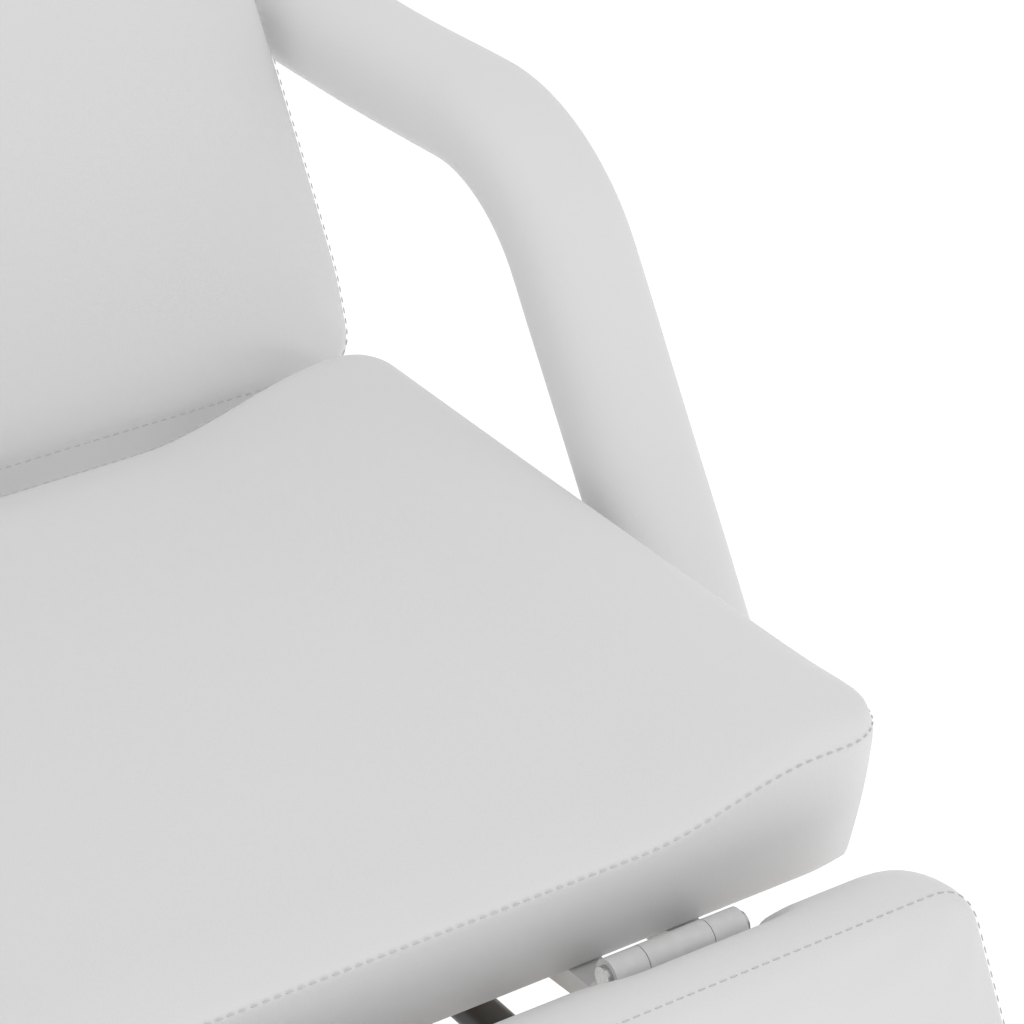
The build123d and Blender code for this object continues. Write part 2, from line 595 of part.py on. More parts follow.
leg_flange = [(LEG_CROSS_NEAR, LEG_LOW - TUBE + 1), (LEG_CROSS_NEAR, LEG_LOW - 1),
              (LEG_CROSS_NEAR + 4, LEG_LOW - 1), (LEG_CROSS_NEAR + 4, LEG_LOW - TUBE + 1)]
leg_arm = [(LEG_CROSS_NEAR + 2, LEG_LOW - 16), (LEG_CROSS_NEAR + 2, LEG_LOW - 2), (-14, LEG_LOW - 2), (-4, 4),
           (5, -6), (-10, LEG_LOW - 12)]
OUTER_SPANS = ((-HINGE_LENGTH / 2, -HINGE_LENGTH / 2 + KNUCKLE_LENGTH),
               (HINGE_LENGTH / 2 - KNUCKLE_LENGTH, HINGE_LENGTH / 2))
MIDDLE_HALF = HINGE_LENGTH / 2 - KNUCKLE_LENGTH - KNUCKLE_CLEARANCE
seat_leaves = [hinge_leaf(world_side_at, seat_arm, seat_flange, OUTER_SPANS, side * HINGE_X)
               for side in SIDES]
save(group(seat_leaves), "legrest_hinge_seat_leaves")
leg_leaves = [hinge_leaf(leg_side_at, leg_arm, leg_flange, ((-MIDDLE_HALF, MIDDLE_HALF),), side * HINGE_X)
              for side in SIDES]
save(group(leg_leaves), "legrest_hinge_leaves")

leg_pins = []
for side in SIDES:
    with BuildPart() as leg_pin:
        low = side * HINGE_X - HINGE_LENGTH / 2
        add(rod((low, LEG_PIVOT_Y, LEG_PIVOT_Z), (low + HINGE_LENGTH, LEG_PIVOT_Y, LEG_PIVOT_Z), LEG_PIN_R))
        add(rod((low - 3, LEG_PIVOT_Y, LEG_PIVOT_Z), (low, LEG_PIVOT_Y, LEG_PIVOT_Z), LEG_PIN_R + 2))
        high = low + HINGE_LENGTH
        add(rod((high, LEG_PIVOT_Y, LEG_PIVOT_Z), (high + 3, LEG_PIVOT_Y, LEG_PIVOT_Z), LEG_PIN_R + 2))
    leg_pins.append(leg_pin.part)
save(group(leg_pins), "legrest_hinge_pins")

# ---------------------------------------------------------------- backrest
BACK_LOW = BACK_PIVOT_DROP
BACK_HIGH = BACK_LOW + BACK_THICKNESS
BACK_WIDTH_LOW = SEAT_WIDTH - BACK_NARROWER_LOW
BACK_WIDTH_WIDE = SEAT_WIDTH + BACK_WIDER
BACK_WIDTH_TOP = SEAT_WIDTH - BACK_NARROWER_TOP
with BuildSketch() as back_plan:
    with BuildLine():
        right = Spline((BACK_WIDTH_LOW / 2, BACK_START), (BACK_WIDTH_WIDE / 2, BACK_WIDE_AT),
                       (BACK_WIDTH_TOP / 2, BACK_END), tangents=[(0.14, 1), (-0.05, 1)])
        Line(right @ 1, (-BACK_WIDTH_TOP / 2, BACK_END))
        left = Spline((-BACK_WIDTH_TOP / 2, BACK_END), (-BACK_WIDTH_WIDE / 2, BACK_WIDE_AT),
                      (-BACK_WIDTH_LOW / 2, BACK_START), tangents=[(-0.05, -1), (0.14, -1)])
        Line(left @ 1, right @ 0)
    make_face()
    fillet(back_plan.vertices().group_by(Axis.Y)[-1], BACK_TOP_R)
    fillet(back_plan.vertices().group_by(Axis.Y)[0], 22)
with BuildSketch() as back_side:
    with BuildLine():
        Polyline((BACK_START + 16, BACK_LOW), (BACK_START + 5, BACK_LOW + 19),
                 (BACK_START + BACK_LOW_CHAMFER, BACK_HIGH), (BACK_END - 30, BACK_HIGH),
                 (BACK_END, BACK_HIGH - 26), (BACK_END, BACK_LOW), close=True)
    make_face()
with BuildSketch() as back_board_plan:
    with Locations((0, (BACK_START + BACK_END) / 2 + 10)):
        RectangleRounded(BACK_WIDTH_TOP - 2 * BOARD_INSET, BACK_LENGTH - 20 - 2 * BOARD_INSET,
                         BACK_TOP_R - BOARD_INSET)
save(padded_section(BACK, back_plan.sketch, BACK_LOW, BACK_HIGH, back_side.sketch, back_board_plan.sketch),
     "backrest_cushion")
save(board_for(BACK, BACK_LOW, back_board_plan.sketch), "backrest_board")

BACK_TUBE_W = BACK_LOW - TUBE / 2
BACK_TUBE_START = 19.0
BACK_TUBE_END = BACK_END - 40
back_tubes = []
for side in SIDES:
    x = side * RAIL_X
    with BuildPart() as back_tube:
        add(square_tube(BACK.from_local_coords((x, BACK_TUBE_START, BACK_TUBE_W)),
                        BACK.from_local_coords((x, BACK_TUBE_END, BACK_TUBE_W))))
        eye_half = EAR_IN - EYE_SIDE_CLEARANCE
        with BuildSketch(side_plane(BACK, x - eye_half)):
            Circle(EYE_R)
        extrude(amount=2 * eye_half)
        with BuildSketch(side_plane(BACK, x - TUBE / 2)):
            with BuildLine():
                Polyline((0, -EYE_R * 0.5), (0, EYE_R), (BACK_TUBE_START, BACK_LOW - 0.5),
                         (BACK_TUBE_START, BACK_LOW - TUBE), close=True)
            make_face()
        extrude(amount=TUBE)
        with BuildSketch(side_plane(BACK, x - eye_half)):
            Circle(BACK_PIN_R + RUNNING_CLEARANCE)
        extrude(amount=2 * eye_half, mode=Mode.SUBTRACT)
    back_tubes.append(back_tube.part)
save(group(back_tubes), "backrest_side_tubes")

SOCKET_TOP = BACK_END - 6
BACK_CROSS_AT = (36.0, BACK_LENGTH * 0.46, SOCKET_TOP - HEAD_SOCKET_LENGTH - TUBE / 2)
BACK_INNER_X = RAIL_X - TUBE / 2
back_cross = []
for along in BACK_CROSS_AT:
    start = BACK.from_local_coords((-BACK_INNER_X, along, BACK_TUBE_W))
    with BuildPart() as back_rail:
        with BuildSketch(Plane(origin=start, x_dir=BACK.y_dir, z_dir=(1, 0, 0))):
            Rectangle(TUBE, TUBE)
            Rectangle(TUBE - 2 * TUBE_WALL, TUBE - 2 * TUBE_WALL, mode=Mode.SUBTRACT)
        extrude(amount=2 * BACK_INNER_X)
    back_cross.append(back_rail.part)
save(group(back_cross), "backrest_cross_tubes")


def crank(section, gas_x, outline, pin_at):
    """Two lugs either side of the slotted eye, bored for the crank pin."""
    lugs = []
    for offset in (-LUG_GAP / 2 - LUG_THICKNESS, LUG_GAP / 2):
        with BuildPart() as lug:
            with BuildSketch(side_plane(section, gas_x + offset)):
                with BuildLine():
                    Polyline(*outline, close=True)
                make_face()
                with Locations(pin_at):
                    Circle(CRANK_PIN_R + 5)
                    Circle(CRANK_PIN_R, mode=Mode.SUBTRACT)
            extrude(amount=LUG_THICKNESS)
        lugs.append(lug.part)
    return group(lugs)


def crank_pin(section, gas_x, pin_at):
    """The headed pin through both lugs."""
    half = LUG_GAP / 2 + LUG_THICKNESS
    with BuildPart() as pin:
        with BuildSketch(side_plane(section, gas_x - half)):
            with Locations(pin_at):
                Circle(CRANK_PIN_R)
        extrude(amount=2 * half)
        for x, length in ((gas_x - half - 2.5, 2.5), (gas_x + half, 2.5)):
            with BuildSketch(side_plane(section, x)):
                with Locations(pin_at):
                    Circle(CRANK_PIN_R + 2)
            extrude(amount=length)
    return pin.part


back_pin_at = (BACK_CRANK * cos(radians(BACK_CRANK_ANGLE)), BACK_CRANK * sin(radians(BACK_CRANK_ANGLE)))
BACK_TUBE_UNDER = BACK_LOW - TUBE
back_lug = [(BACK_CROSS_AT[0] - TUBE / 2, BACK_TUBE_UNDER), (BACK_CROSS_AT[0] + TUBE / 2, BACK_TUBE_UNDER),
            (back_pin_at[0] + 7, back_pin_at[1] - 5), (back_pin_at[0] - 7, back_pin_at[1] + 5)]
save(crank(BACK, -GAS_X, back_lug, back_pin_at), "backrest_crank")
save(crank_pin(BACK, -GAS_X, back_pin_at), "backrest_crank_pin")

head_sockets = []
for side in SIDES:
    ends = [BACK.from_local_coords((side * HEAD_ROD_X, along, HEAD_PIVOT_RISE))
            for along in (SOCKET_TOP - HEAD_SOCKET_LENGTH, SOCKET_TOP)]
    head_sockets.append(rod(ends[0], ends[1], HEAD_SOCKET_R, HEAD_ROD_R + RUNNING_CLEARANCE))
save(group(head_sockets), "headrest_sockets")

# ---------------------------------------------------------------- leg rest
LEG_HIGH = LEG_LOW + LEG_THICKNESS
LEG_WIDTH = SEAT_WIDTH - LEG_NARROWER
LEG_TOP_AT = LEG_END_RISE
LEG_END = LEG_TOP_AT - LEG_LENGTH
LEG_MIDDLE = (LEG_TOP_AT + LEG_END) / 2
with BuildSketch() as leg_plan:
    with Locations((0, LEG_MIDDLE)):
        RectangleRounded(LEG_WIDTH, LEG_LENGTH, LEG_CORNER_R)
with BuildSketch() as leg_side:
    with BuildLine():
        Polyline((LEG_END + 8, LEG_LOW), (LEG_END, LEG_LOW + 24), (LEG_END, LEG_HIGH - 24),
                 (LEG_END + 20, LEG_HIGH), (LEG_TOP_AT - LEG_SEAM_BACK - 12, LEG_HIGH),
                 (LEG_TOP_AT - LEG_SEAM_BACK, LEG_HIGH - 12), (LEG_TOP_AT, LEG_LOW + 50),
                 (LEG_TOP_AT, LEG_LOW + 31), (LEG_TOP_AT - LEG_SEAM_BACK, LEG_LOW + 13),
                 (LEG_TOP_AT - LEG_SEAM_BACK - 5, LEG_LOW), close=True)
    make_face()
with BuildSketch() as leg_board_plan:
    with Locations((0, LEG_MIDDLE - LEG_SEAM_BACK / 2)):
        RectangleRounded(LEG_WIDTH - 2 * BOARD_INSET, LEG_LENGTH - 2 * BOARD_INSET - LEG_SEAM_BACK - 8,
                         LEG_CORNER_R - BOARD_INSET)
leg_block = padded_section(LEG, leg_plan.sketch, LEG_LOW, LEG_HIGH, leg_side.sketch, leg_board_plan.sketch)
NOTCH_LENGTH = HINGE_LENGTH + 14
NOTCH_DEPTH = 18.0
with BuildPart() as legrest_cushion:
    add(leg_block)
    with BuildSketch(LEG.offset(LEG_LOW)):
        with Locations(*[(side * HINGE_X, (LEG_TOP_AT + 4 - NOTCH_DEPTH) / 2) for side in SIDES]):
            Rectangle(NOTCH_LENGTH, NOTCH_DEPTH + LEG_TOP_AT + 4)
    extrude(amount=-LEG_LOW + KNUCKLE_R + 3, mode=Mode.SUBTRACT)
save(legrest_cushion.part, "legrest_cushion")
save(board_for(LEG, LEG_LOW, leg_board_plan.sketch), "legrest_board")

LEG_TUBE_W = LEG_LOW - TUBE / 2
LEG_TUBE_X = 190.0
LEG_CROSS_AT = (LEG_CROSS_NEAR - TUBE / 2, -360.0)
leg_cross = []
for along in LEG_CROSS_AT:
    start = LEG.from_local_coords((-LEG_TUBE_X - TUBE / 2, along, LEG_TUBE_W))
    with BuildPart() as leg_rail:
        with BuildSketch(Plane(origin=start, x_dir=LEG.y_dir, z_dir=(1, 0, 0))):
            Rectangle(TUBE, TUBE)
            Rectangle(TUBE - 2 * TUBE_WALL, TUBE - 2 * TUBE_WALL, mode=Mode.SUBTRACT)
        extrude(amount=2 * LEG_TUBE_X + TUBE)
    leg_cross.append(leg_rail.part)
save(group(leg_cross), "legrest_cross_tubes")

leg_tubes = [square_tube(LEG.from_local_coords((side * LEG_TUBE_X, LEG_CROSS_AT[0] - TUBE / 2, LEG_TUBE_W)),
                         LEG.from_local_coords((side * LEG_TUBE_X, LEG_CROSS_AT[1] + TUBE / 2, LEG_TUBE_W)))
             for side in SIDES]
save(group(leg_tubes), "legrest_side_tubes")

LEG_PIN_TURN = radians(LEG_CRANK_ANGLE)
leg_pin_at = (-LEG_CRANK * cos(LEG_PIN_TURN), -LEG_CRANK * sin(LEG_PIN_TURN))
LEG_TUBE_UNDER = LEG_LOW - TUBE
leg_lug = [(LEG_CROSS_AT[0] + TUBE / 2, LEG_TUBE_UNDER), (LEG_CROSS_AT[0] - TUBE / 2, LEG_TUBE_UNDER),
           (leg_pin_at[0] - 7, leg_pin_at[1] - 4), (leg_pin_at[0] + 7, leg_pin_at[1] - 4)]
save(crank(LEG, GAS_X, leg_lug, leg_pin_at), "legrest_crank")
save(crank_pin(LEG, GAS_X, leg_pin_at), "legrest_crank_pin")

# ---------------------------------------------------------------- gas springs


def pin_path(pivot_y, pivot_z, radius, start, low, high):
    """The crank pin's place at rest, and its lowest and highest heights between two turns of the crank."""
    turns = [radians(start + low + (high - low) * step / 48) for step in range(49)]
    heights = [pivot_z + radius * sin(turn) for turn in turns]
    rest = radians(start)
    return (pivot_y + radius * cos(rest), pivot_z + radius * sin(rest)), min(heights), max(heights)


back_rest_turn = BACK_ANGLE + BACK_CRANK_ANGLE
back_pin_rest, back_pin_low, back_pin_high = pin_path(BACK_PIVOT_Y, BACK_PIVOT_Z, BACK_CRANK, back_rest_turn,
                                                      -BACK_TRAVEL, 0)
leg_rest_turn = 180 + LEG_ANGLE + LEG_CRANK_ANGLE
leg_pin_rest, leg_pin_low, leg_pin_high = pin_path(LEG_PIVOT_Y, LEG_PIVOT_Z, LEG_CRANK, leg_rest_turn,
                                                   -LEG_TRAVEL_UP, LEG_TRAVEL_DOWN)


def gas_cylinder(x, pin_rest, pin_low, pin_high, towards):
    """A gas spring's cylinder with a slotted eye for the crank pin. towards: the way from pin to rod."""
    axis_z = (pin_low + pin_high) / 2
    slot_half = (pin_high - pin_low) / 2 + CRANK_PIN_R + SLOT_CLEARANCE
    near = pin_rest[0] + towards * GAS_NECK
    far = near + towards * GAS_CYLINDER_LENGTH
    with BuildPart() as cylinder:
        with BuildSketch(Plane(origin=(x, near, axis_z), z_dir=(0, towards, 0))):
            Circle(GAS_CYLINDER_R)
        extrude(amount=GAS_CYLINDER_LENGTH)
        fillet(cylinder.edges().filter_by(GeomType.CIRCLE), 2)
        with BuildSketch(Plane(origin=(x, far, axis_z), z_dir=(0, -towards, 0))):
            Circle(GAS_ROD_R + RUNNING_CLEARANCE)
        extrude(amount=GAS_BORE_DEPTH, mode=Mode.SUBTRACT)
        with BuildSketch(Plane.YZ.offset(x - EYE_PLATE_THICKNESS / 2)):
            with Locations((pin_rest[0], axis_z)):
                RectangleRounded(2 * (CRANK_PIN_R + SLOT_CLEARANCE + EYE_WALL), 2 * (slot_half + EYE_WALL), 6)
            with Locations((pin_rest[0] + towards * (GAS_NECK / 2 + 4), axis_z)):
                Rectangle(GAS_NECK, EYE_NECK_HEIGHT)
        extrude(amount=EYE_PLATE_THICKNESS)
        with BuildSketch(Plane.YZ.offset(x - EYE_PLATE_THICKNESS / 2)):
            with Locations((pin_rest[0], axis_z)):
                SlotOverall(2 * slot_half, 2 * (CRANK_PIN_R + SLOT_CLEARANCE), rotation=90)
        extrude(amount=EYE_PLATE_THICKNESS, mode=Mode.SUBTRACT)
    return cylinder.part


save(gas_cylinder(-GAS_X, back_pin_rest, back_pin_low, back_pin_high, -1), "backrest_gas_cylinder")
save(gas_cylinder(GAS_X, leg_pin_rest, leg_pin_low, leg_pin_high, 1), "legrest_gas_cylinder")

BACK_GAS_Z = (back_pin_low + back_pin_high) / 2
LEG_GAS_Z = (leg_pin_low + leg_pin_high) / 2
BACK_ANCHOR_Y = CROSS_RAIL_Y[0] + TUBE / 2
LEG_ANCHOR_Y = CROSS_RAIL_Y[3] - TUBE / 2
ROD_OVERLAP = 34.0
RELEASE_HEAD = 16.0
RELEASE_PIN_R = 2.5


def gas_rod(x, z, anchor_y, inward, cylinder_mouth_y):
    """The rod from inside the cylinder to the anchor plate, with its nut and its release head."""
    with BuildPart() as piston_rod:
        add(rod((x, cylinder_mouth_y + inward * ROD_OVERLAP, z), (x, anchor_y, z), GAS_ROD_R))
        add(rod((x, anchor_y + inward * PLATE, z), (x, anchor_y + inward * (PLATE + 6), z), GAS_ROD_R + 4))
        add(rod((x, anchor_y, z), (x, anchor_y - inward * RELEASE_HEAD, z), GAS_ROD_R + 4))
        add(rod((x, anchor_y - inward * RELEASE_HEAD, z), (x, anchor_y - inward * (RELEASE_HEAD + 5), z),
                RELEASE_PIN_R))
    return piston_rod.part


BACK_MOUTH_Y = back_pin_rest[0] - GAS_NECK - GAS_CYLINDER_LENGTH
LEG_TRAVEL_OUT = leg_pin_rest[0] - (LEG_PIVOT_Y + LEG_CRANK * cos(radians(leg_rest_turn - LEG_TRAVEL_UP)))
LEG_MOUTH_Y = leg_pin_rest[0] + GAS_NECK + GAS_CYLINDER_LENGTH - LEG_TRAVEL_OUT
save(gas_rod(-GAS_X, BACK_GAS_Z, BACK_ANCHOR_Y, 1, BACK_MOUTH_Y), "backrest_gas_rod")
save(gas_rod(GAS_X, LEG_GAS_Z, LEG_ANCHOR_Y, -1, LEG_MOUTH_Y), "legrest_gas_rod")

anchor_brackets = []
for x, y, z, inward in ((-GAS_X, BACK_ANCHOR_Y, BACK_GAS_Z, 1), (GAS_X, LEG_ANCHOR_Y, LEG_GAS_Z, -1)):
    with BuildPart() as bracket:
        with BuildSketch(Plane(origin=(x, y, 0), x_dir=(1, 0, 0), z_dir=(0, inward, 0))):
            up = -inward
            with Locations((0, up * (z - 16 + SEAT_BOTTOM_Z - 2) / 2)):
                Rectangle(40, SEAT_BOTTOM_Z - 2 - z + 16)
            with Locations((0, up * z)):
                Circle(GAS_ROD_R, mode=Mode.SUBTRACT)
        extrude(amount=PLATE)
    anchor_brackets.append(bracket.part)
save(group(anchor_brackets), "gas_anchor_brackets")

# ---------------------------------------------------------------- release levers
LEVER_DROP = 14.7
LEVERS = {
    "backrest_lever": {"side": -1, "y": BACK_ANCHOR_Y - RELEASE_HEAD - 15, "z": BACK_GAS_Z + 16,
                       "towards": 1},
    "legrest_lever": {"side": 1, "y": LEG_ANCHOR_Y + RELEASE_HEAD + 15, "z": RAIL_UNDER_Z - LEVER_DROP,
                      "towards": -1},
}
LEVER_REACH = 96.0
LEVER_BEND_R = 14.0
lever_brackets = []
for name, lever in LEVERS.items():
    side, y, z, towards = lever["side"], lever["y"], lever["z"], lever["towards"]
    with BuildPart() as lever_part:
        with BuildLine():
            FilletPolyline((side * (GAS_X - 10), y, z), (side * LEVER_X, y, z),
                           (side * LEVER_X, y + towards * LEVER_REACH, z - 6), radius=LEVER_BEND_R)
        with BuildSketch(Plane(origin=(side * (GAS_X - 10), y, z), z_dir=(side, 0, 0))):
            Circle(LEVER_R)
        sweep()
        with BuildSketch(Plane.YZ.offset(side * GAS_X - 3)):
            with Locations((y, z)):
                Circle(LEVER_R + 4)
            with Locations((y, z - 10)):
                Rectangle(10, 20)
        extrude(amount=6)
    save(lever_part.part, name)
    tip = Vector(side * LEVER_X, y + towards * LEVER_REACH, z - 6)
    run = (tip - Vector(side * LEVER_X, y, z)).normalized()
    grip_start = tip - run * (LEVER_GRIP_LENGTH - 6)
    with BuildPart() as grip:
        add(rod(grip_start, (tip + run * 6), LEVER_GRIP_R))
        fillet(grip.edges().filter_by(GeomType.CIRCLE), 4)
    save(grip.part - lever_part.part, f"{name}_grip")
    for x in (side * (GAS_X + 28), side * (RAIL_X + 2)):
        with BuildPart() as lever_bracket:
            with BuildSketch(Plane.YZ.offset(x - EAR_THICKNESS / 2)):
                with Locations((y, z)):
                    Circle(LEVER_R + 6)
                with BuildLine():
                    root = y + towards * 30
                    Polyline((y - towards * 12, z), (y - towards * 12, RAIL_UNDER_Z), (root, RAIL_UNDER_Z),
                             (y + towards * 12, z), close=True)
                make_face()
                with Locations((y, z)):
                    Circle(LEVER_R + RUNNING_CLEARANCE, mode=Mode.SUBTRACT)
            extrude(amount=EAR_THICKNESS)
        lever_brackets.append(lever_bracket.part)
save(group(lever_brackets), "lever_brackets")

# ---------------------------------------------------------------- armrests
PLUG_Z = RAIL_UNDER_Z - SOCKET / 2
PLUG_Y = ARM_CORNER_Y - (ARM_Z - PLUG_Z) * tan(radians(ARM_LEAN))
PAD_RUN = (ARM_Z - ARM_PAD_END_Z) * tan(radians(ARM_LEAN))
arm_sockets = []
for side, word in ((-1, "left"), (1, "right")):
    x = side * ARM_X
    start = Plane(origin=(x, ARM_BACK_Y, ARM_Z), x_dir=(1, 0, 0), z_dir=(0, -1, 0))
    with BuildPart() as arm_core:
        with BuildLine():
            FilletPolyline((x, ARM_BACK_Y - 20, ARM_Z), (x, ARM_CORNER_Y, ARM_Z), (x, PLUG_Y, PLUG_Z),
                           radius=ARM_BEND_R)
        with BuildSketch(Plane(origin=(x, ARM_BACK_Y - 20, ARM_Z), x_dir=(1, 0, 0), z_dir=(0, -1, 0))):
            Circle(ARM_CORE_R)
        sweep()
    with BuildPart() as arm_pad:
        with BuildLine():
            FilletPolyline((x, ARM_BACK_Y, ARM_Z), (x, ARM_CORNER_Y, ARM_Z),
                           (x, ARM_CORNER_Y - PAD_RUN, ARM_PAD_END_Z), radius=ARM_BEND_R)
        with BuildSketch(start):
            RectangleRounded(ARM_PAD_WIDTH, ARM_PAD_HEIGHT, ARM_PAD_R)
        sweep()
        fillet(arm_pad.faces().sort_by(Axis.Y)[-1].edges(), 20)
        add(arm_core.part, mode=Mode.SUBTRACT)
    save(arm_pad.part, f"armrest_pad_{word}")
    with BuildPart() as arm_frame:
        add(arm_core.part)
        plug_start = (side * PLUG_INNER, PLUG_Y, PLUG_Z)
        with BuildSketch(Plane(origin=plug_start, x_dir=(0, 1, 0), z_dir=(side, 0, 0))):
            RectangleRounded(PLUG, PLUG, 2)
        extrude(amount=ARM_X + ARM_CORE_R + 3 - PLUG_INNER)
    save(arm_frame.part, f"armrest_frame_{word}")
    with BuildPart() as arm_socket:
        add(square_tube((side * SOCKET_INNER, PLUG_Y, PLUG_Z), (side * SOCKET_OUTER, PLUG_Y, PLUG_Z),
                        SOCKET, SOCKET))
        with Locations((side * KNOB_X, PLUG_Y, PLUG_Z - SOCKET / 2 + TUBE_WALL)):
            Hole(KNOB_STEM_R + RUNNING_CLEARANCE, depth=TUBE_WALL)
    arm_sockets.append(arm_socket.part)
    KNOB_TOP_Z = PLUG_Z - SOCKET / 2 - KNOB_DROP
    with BuildPart() as knob:
        with BuildSketch(Plane.XY.offset(KNOB_TOP_Z)):
            with Locations((side * KNOB_X, PLUG_Y)):
                Circle(KNOB_R - 3)
                with PolarLocations(KNOB_R - 5, KNOB_LOBES):
                    Circle(5)
        extrude(amount=-KNOB_HEIGHT)
        with BuildSketch(Plane.XY.offset(KNOB_TOP_Z)):
            with Locations((side * KNOB_X, PLUG_Y)):
                Circle(KNOB_STEM_R + 4)
        extrude(amount=KNOB_DROP - 2)
        with BuildSketch(Plane.XY.offset(KNOB_TOP_Z)):
            with Locations((side * KNOB_X, PLUG_Y)):
                Circle(KNOB_STEM_R)
        extrude(amount=KNOB_DROP + TUBE_WALL + 0.2)
    save(knob.part, f"clamp_knob_{word}")
save(group(arm_sockets), "armrest_sockets")

# ---------------------------------------------------------------- headrest
HEAD_BAR_HALF = 92.0
with BuildPart() as headrest_carrier:
    for side in SIDES:
        add(rod(BACK.from_local_coords((side * HEAD_ROD_X, SOCKET_TOP - HEAD_ROD_IN_SOCKET, HEAD_PIVOT_RISE)),
                BACK.from_local_coords((side * HEAD_ROD_X, HEAD_PIVOT, HEAD_PIVOT_RISE)), HEAD_ROD_R))
    add(rod(BACK.from_local_coords((-HEAD_BAR_HALF, HEAD_PIVOT, HEAD_PIVOT_RISE)),
            BACK.from_local_coords((HEAD_BAR_HALF, HEAD_PIVOT, HEAD_PIVOT_RISE)), HEAD_BAR_R))
save(headrest_carrier.part, "headrest_carrier")

HEAD_START = HEAD_PIVOT - 5
HEAD_FAR = HEAD_START + HEAD_LENGTH
HEAD_LOW = BACK_LOW
HEAD_HIGH = HEAD_LOW + HEAD_THICKNESS
with BuildSketch() as head_plan:
    with Locations((0, HEAD_START + HEAD_LENGTH / 2)):
        RectangleRounded(HEAD_WIDTH, HEAD_LENGTH, HEAD_CORNER_R)
with BuildSketch() as head_side:
    with BuildLine():
        Polyline((HEAD_START + 4, HEAD_LOW), (HEAD_START, HEAD_LOW + 20), (HEAD_START + 4, HEAD_HIGH - 20),
                 (HEAD_START + 24, HEAD_HIGH), (HEAD_FAR - 30, HEAD_HIGH), (HEAD_FAR, HEAD_HIGH - 30),
                 (HEAD_FAR, HEAD_LOW), close=True)
    make_face()
with BuildSketch() as head_board_plan:
    with Locations((0, HEAD_START + HEAD_LENGTH / 2)):
        RectangleRounded(HEAD_WIDTH - 2 * BOARD_INSET, HEAD_LENGTH - 2 * BOARD_INSET,
                         HEAD_CORNER_R - BOARD_INSET)
save(padded_section(BACK, head_plan.sketch, HEAD_LOW, HEAD_HIGH, head_side.sketch,
                    head_board_plan.sketch), "headrest_cushion")
save(board_for(BACK, HEAD_LOW, head_board_plan.sketch), "headrest_board")

head_brackets = []
for side in SIDES:
    with BuildPart() as head_bracket:
        with BuildSketch(side_plane(BACK, side * (HEAD_BAR_HALF - 9) - EAR_THICKNESS / 2)):
            with Locations((HEAD_PIVOT, HEAD_PIVOT_RISE)):
                Circle(HEAD_BAR_R + 5)
            with BuildLine():
                Polyline((HEAD_PIVOT + 9.5, HEAD_LOW), (HEAD_PIVOT + 90, HEAD_LOW),
                         (HEAD_PIVOT + 90, HEAD_LOW - 5), (HEAD_PIVOT + 4, HEAD_PIVOT_RISE - 12), close=True)
            make_face()
            with Locations((HEAD_PIVOT, HEAD_PIVOT_RISE)):
                Circle(HEAD_BAR_R + RUNNING_CLEARANCE, mode=Mode.SUBTRACT)
        extrude(amount=EAR_THICKNESS)
    head_brackets.append(head_bracket.part)
save(group(head_brackets), "headrest_brackets")
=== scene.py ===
"""Facial treatment bed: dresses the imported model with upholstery, stitching and finishes."""

import json
import logging
import math
from dataclasses import dataclass, field
from enum import Enum
from typing import Callable, Sequence

import bmesh
import bpy
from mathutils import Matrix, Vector

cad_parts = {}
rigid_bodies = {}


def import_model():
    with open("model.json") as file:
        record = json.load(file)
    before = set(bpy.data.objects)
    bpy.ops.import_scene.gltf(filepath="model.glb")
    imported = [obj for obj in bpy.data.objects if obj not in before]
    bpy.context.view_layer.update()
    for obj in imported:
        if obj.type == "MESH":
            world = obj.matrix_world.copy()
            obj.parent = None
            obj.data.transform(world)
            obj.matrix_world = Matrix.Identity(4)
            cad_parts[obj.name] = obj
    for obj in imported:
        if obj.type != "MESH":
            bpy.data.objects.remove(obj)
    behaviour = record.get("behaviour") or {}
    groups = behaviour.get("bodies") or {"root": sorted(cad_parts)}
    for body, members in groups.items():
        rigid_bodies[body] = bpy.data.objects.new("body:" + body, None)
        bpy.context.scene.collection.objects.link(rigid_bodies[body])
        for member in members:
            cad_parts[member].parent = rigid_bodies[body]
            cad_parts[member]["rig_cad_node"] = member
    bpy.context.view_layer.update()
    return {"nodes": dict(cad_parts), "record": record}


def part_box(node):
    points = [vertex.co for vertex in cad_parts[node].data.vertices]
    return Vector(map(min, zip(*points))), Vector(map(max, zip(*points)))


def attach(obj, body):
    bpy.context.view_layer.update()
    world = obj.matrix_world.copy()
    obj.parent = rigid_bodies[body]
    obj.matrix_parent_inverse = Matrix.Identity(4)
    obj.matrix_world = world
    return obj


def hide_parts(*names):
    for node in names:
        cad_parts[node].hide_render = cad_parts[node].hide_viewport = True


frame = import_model()

log = logging.getLogger("facial_bed")

BACK_PIVOT = (0.0, 0.316, 0.512)
BACK_ANGLE = math.radians(65.0)
LEG_PIVOT = (0.0, -0.248, 0.543)
LEG_ANGLE = math.radians(62.7)
STITCH_PITCH = 0.0062
STAPLE_PITCH = 0.032
DUST_COLOUR = (0.62, 0.6, 0.57)


# ------------------------------------------------------------------ small tools
def smooth_step(low: float, high: float, value: float) -> float:
    """Rises smoothly from 0 at low to 1 at high.

    Args:
        low: Where the rise starts.
        high: Where it ends.
        value: The place asked about.

    Returns:
        A number from 0 to 1.
    """
    t = min(max((value - low) / (high - low), 0.0), 1.0)
    return t * t * (3.0 - 2.0 * t)


def quarter_round(distance: float, radius: float) -> float:
    """Height of a quarter circle, as a share of its radius, at a distance in from its foot."""
    t = min(max(distance / radius, 0.0), 1.0)
    return math.sqrt(max(0.0, 1.0 - (1.0 - t) ** 2))


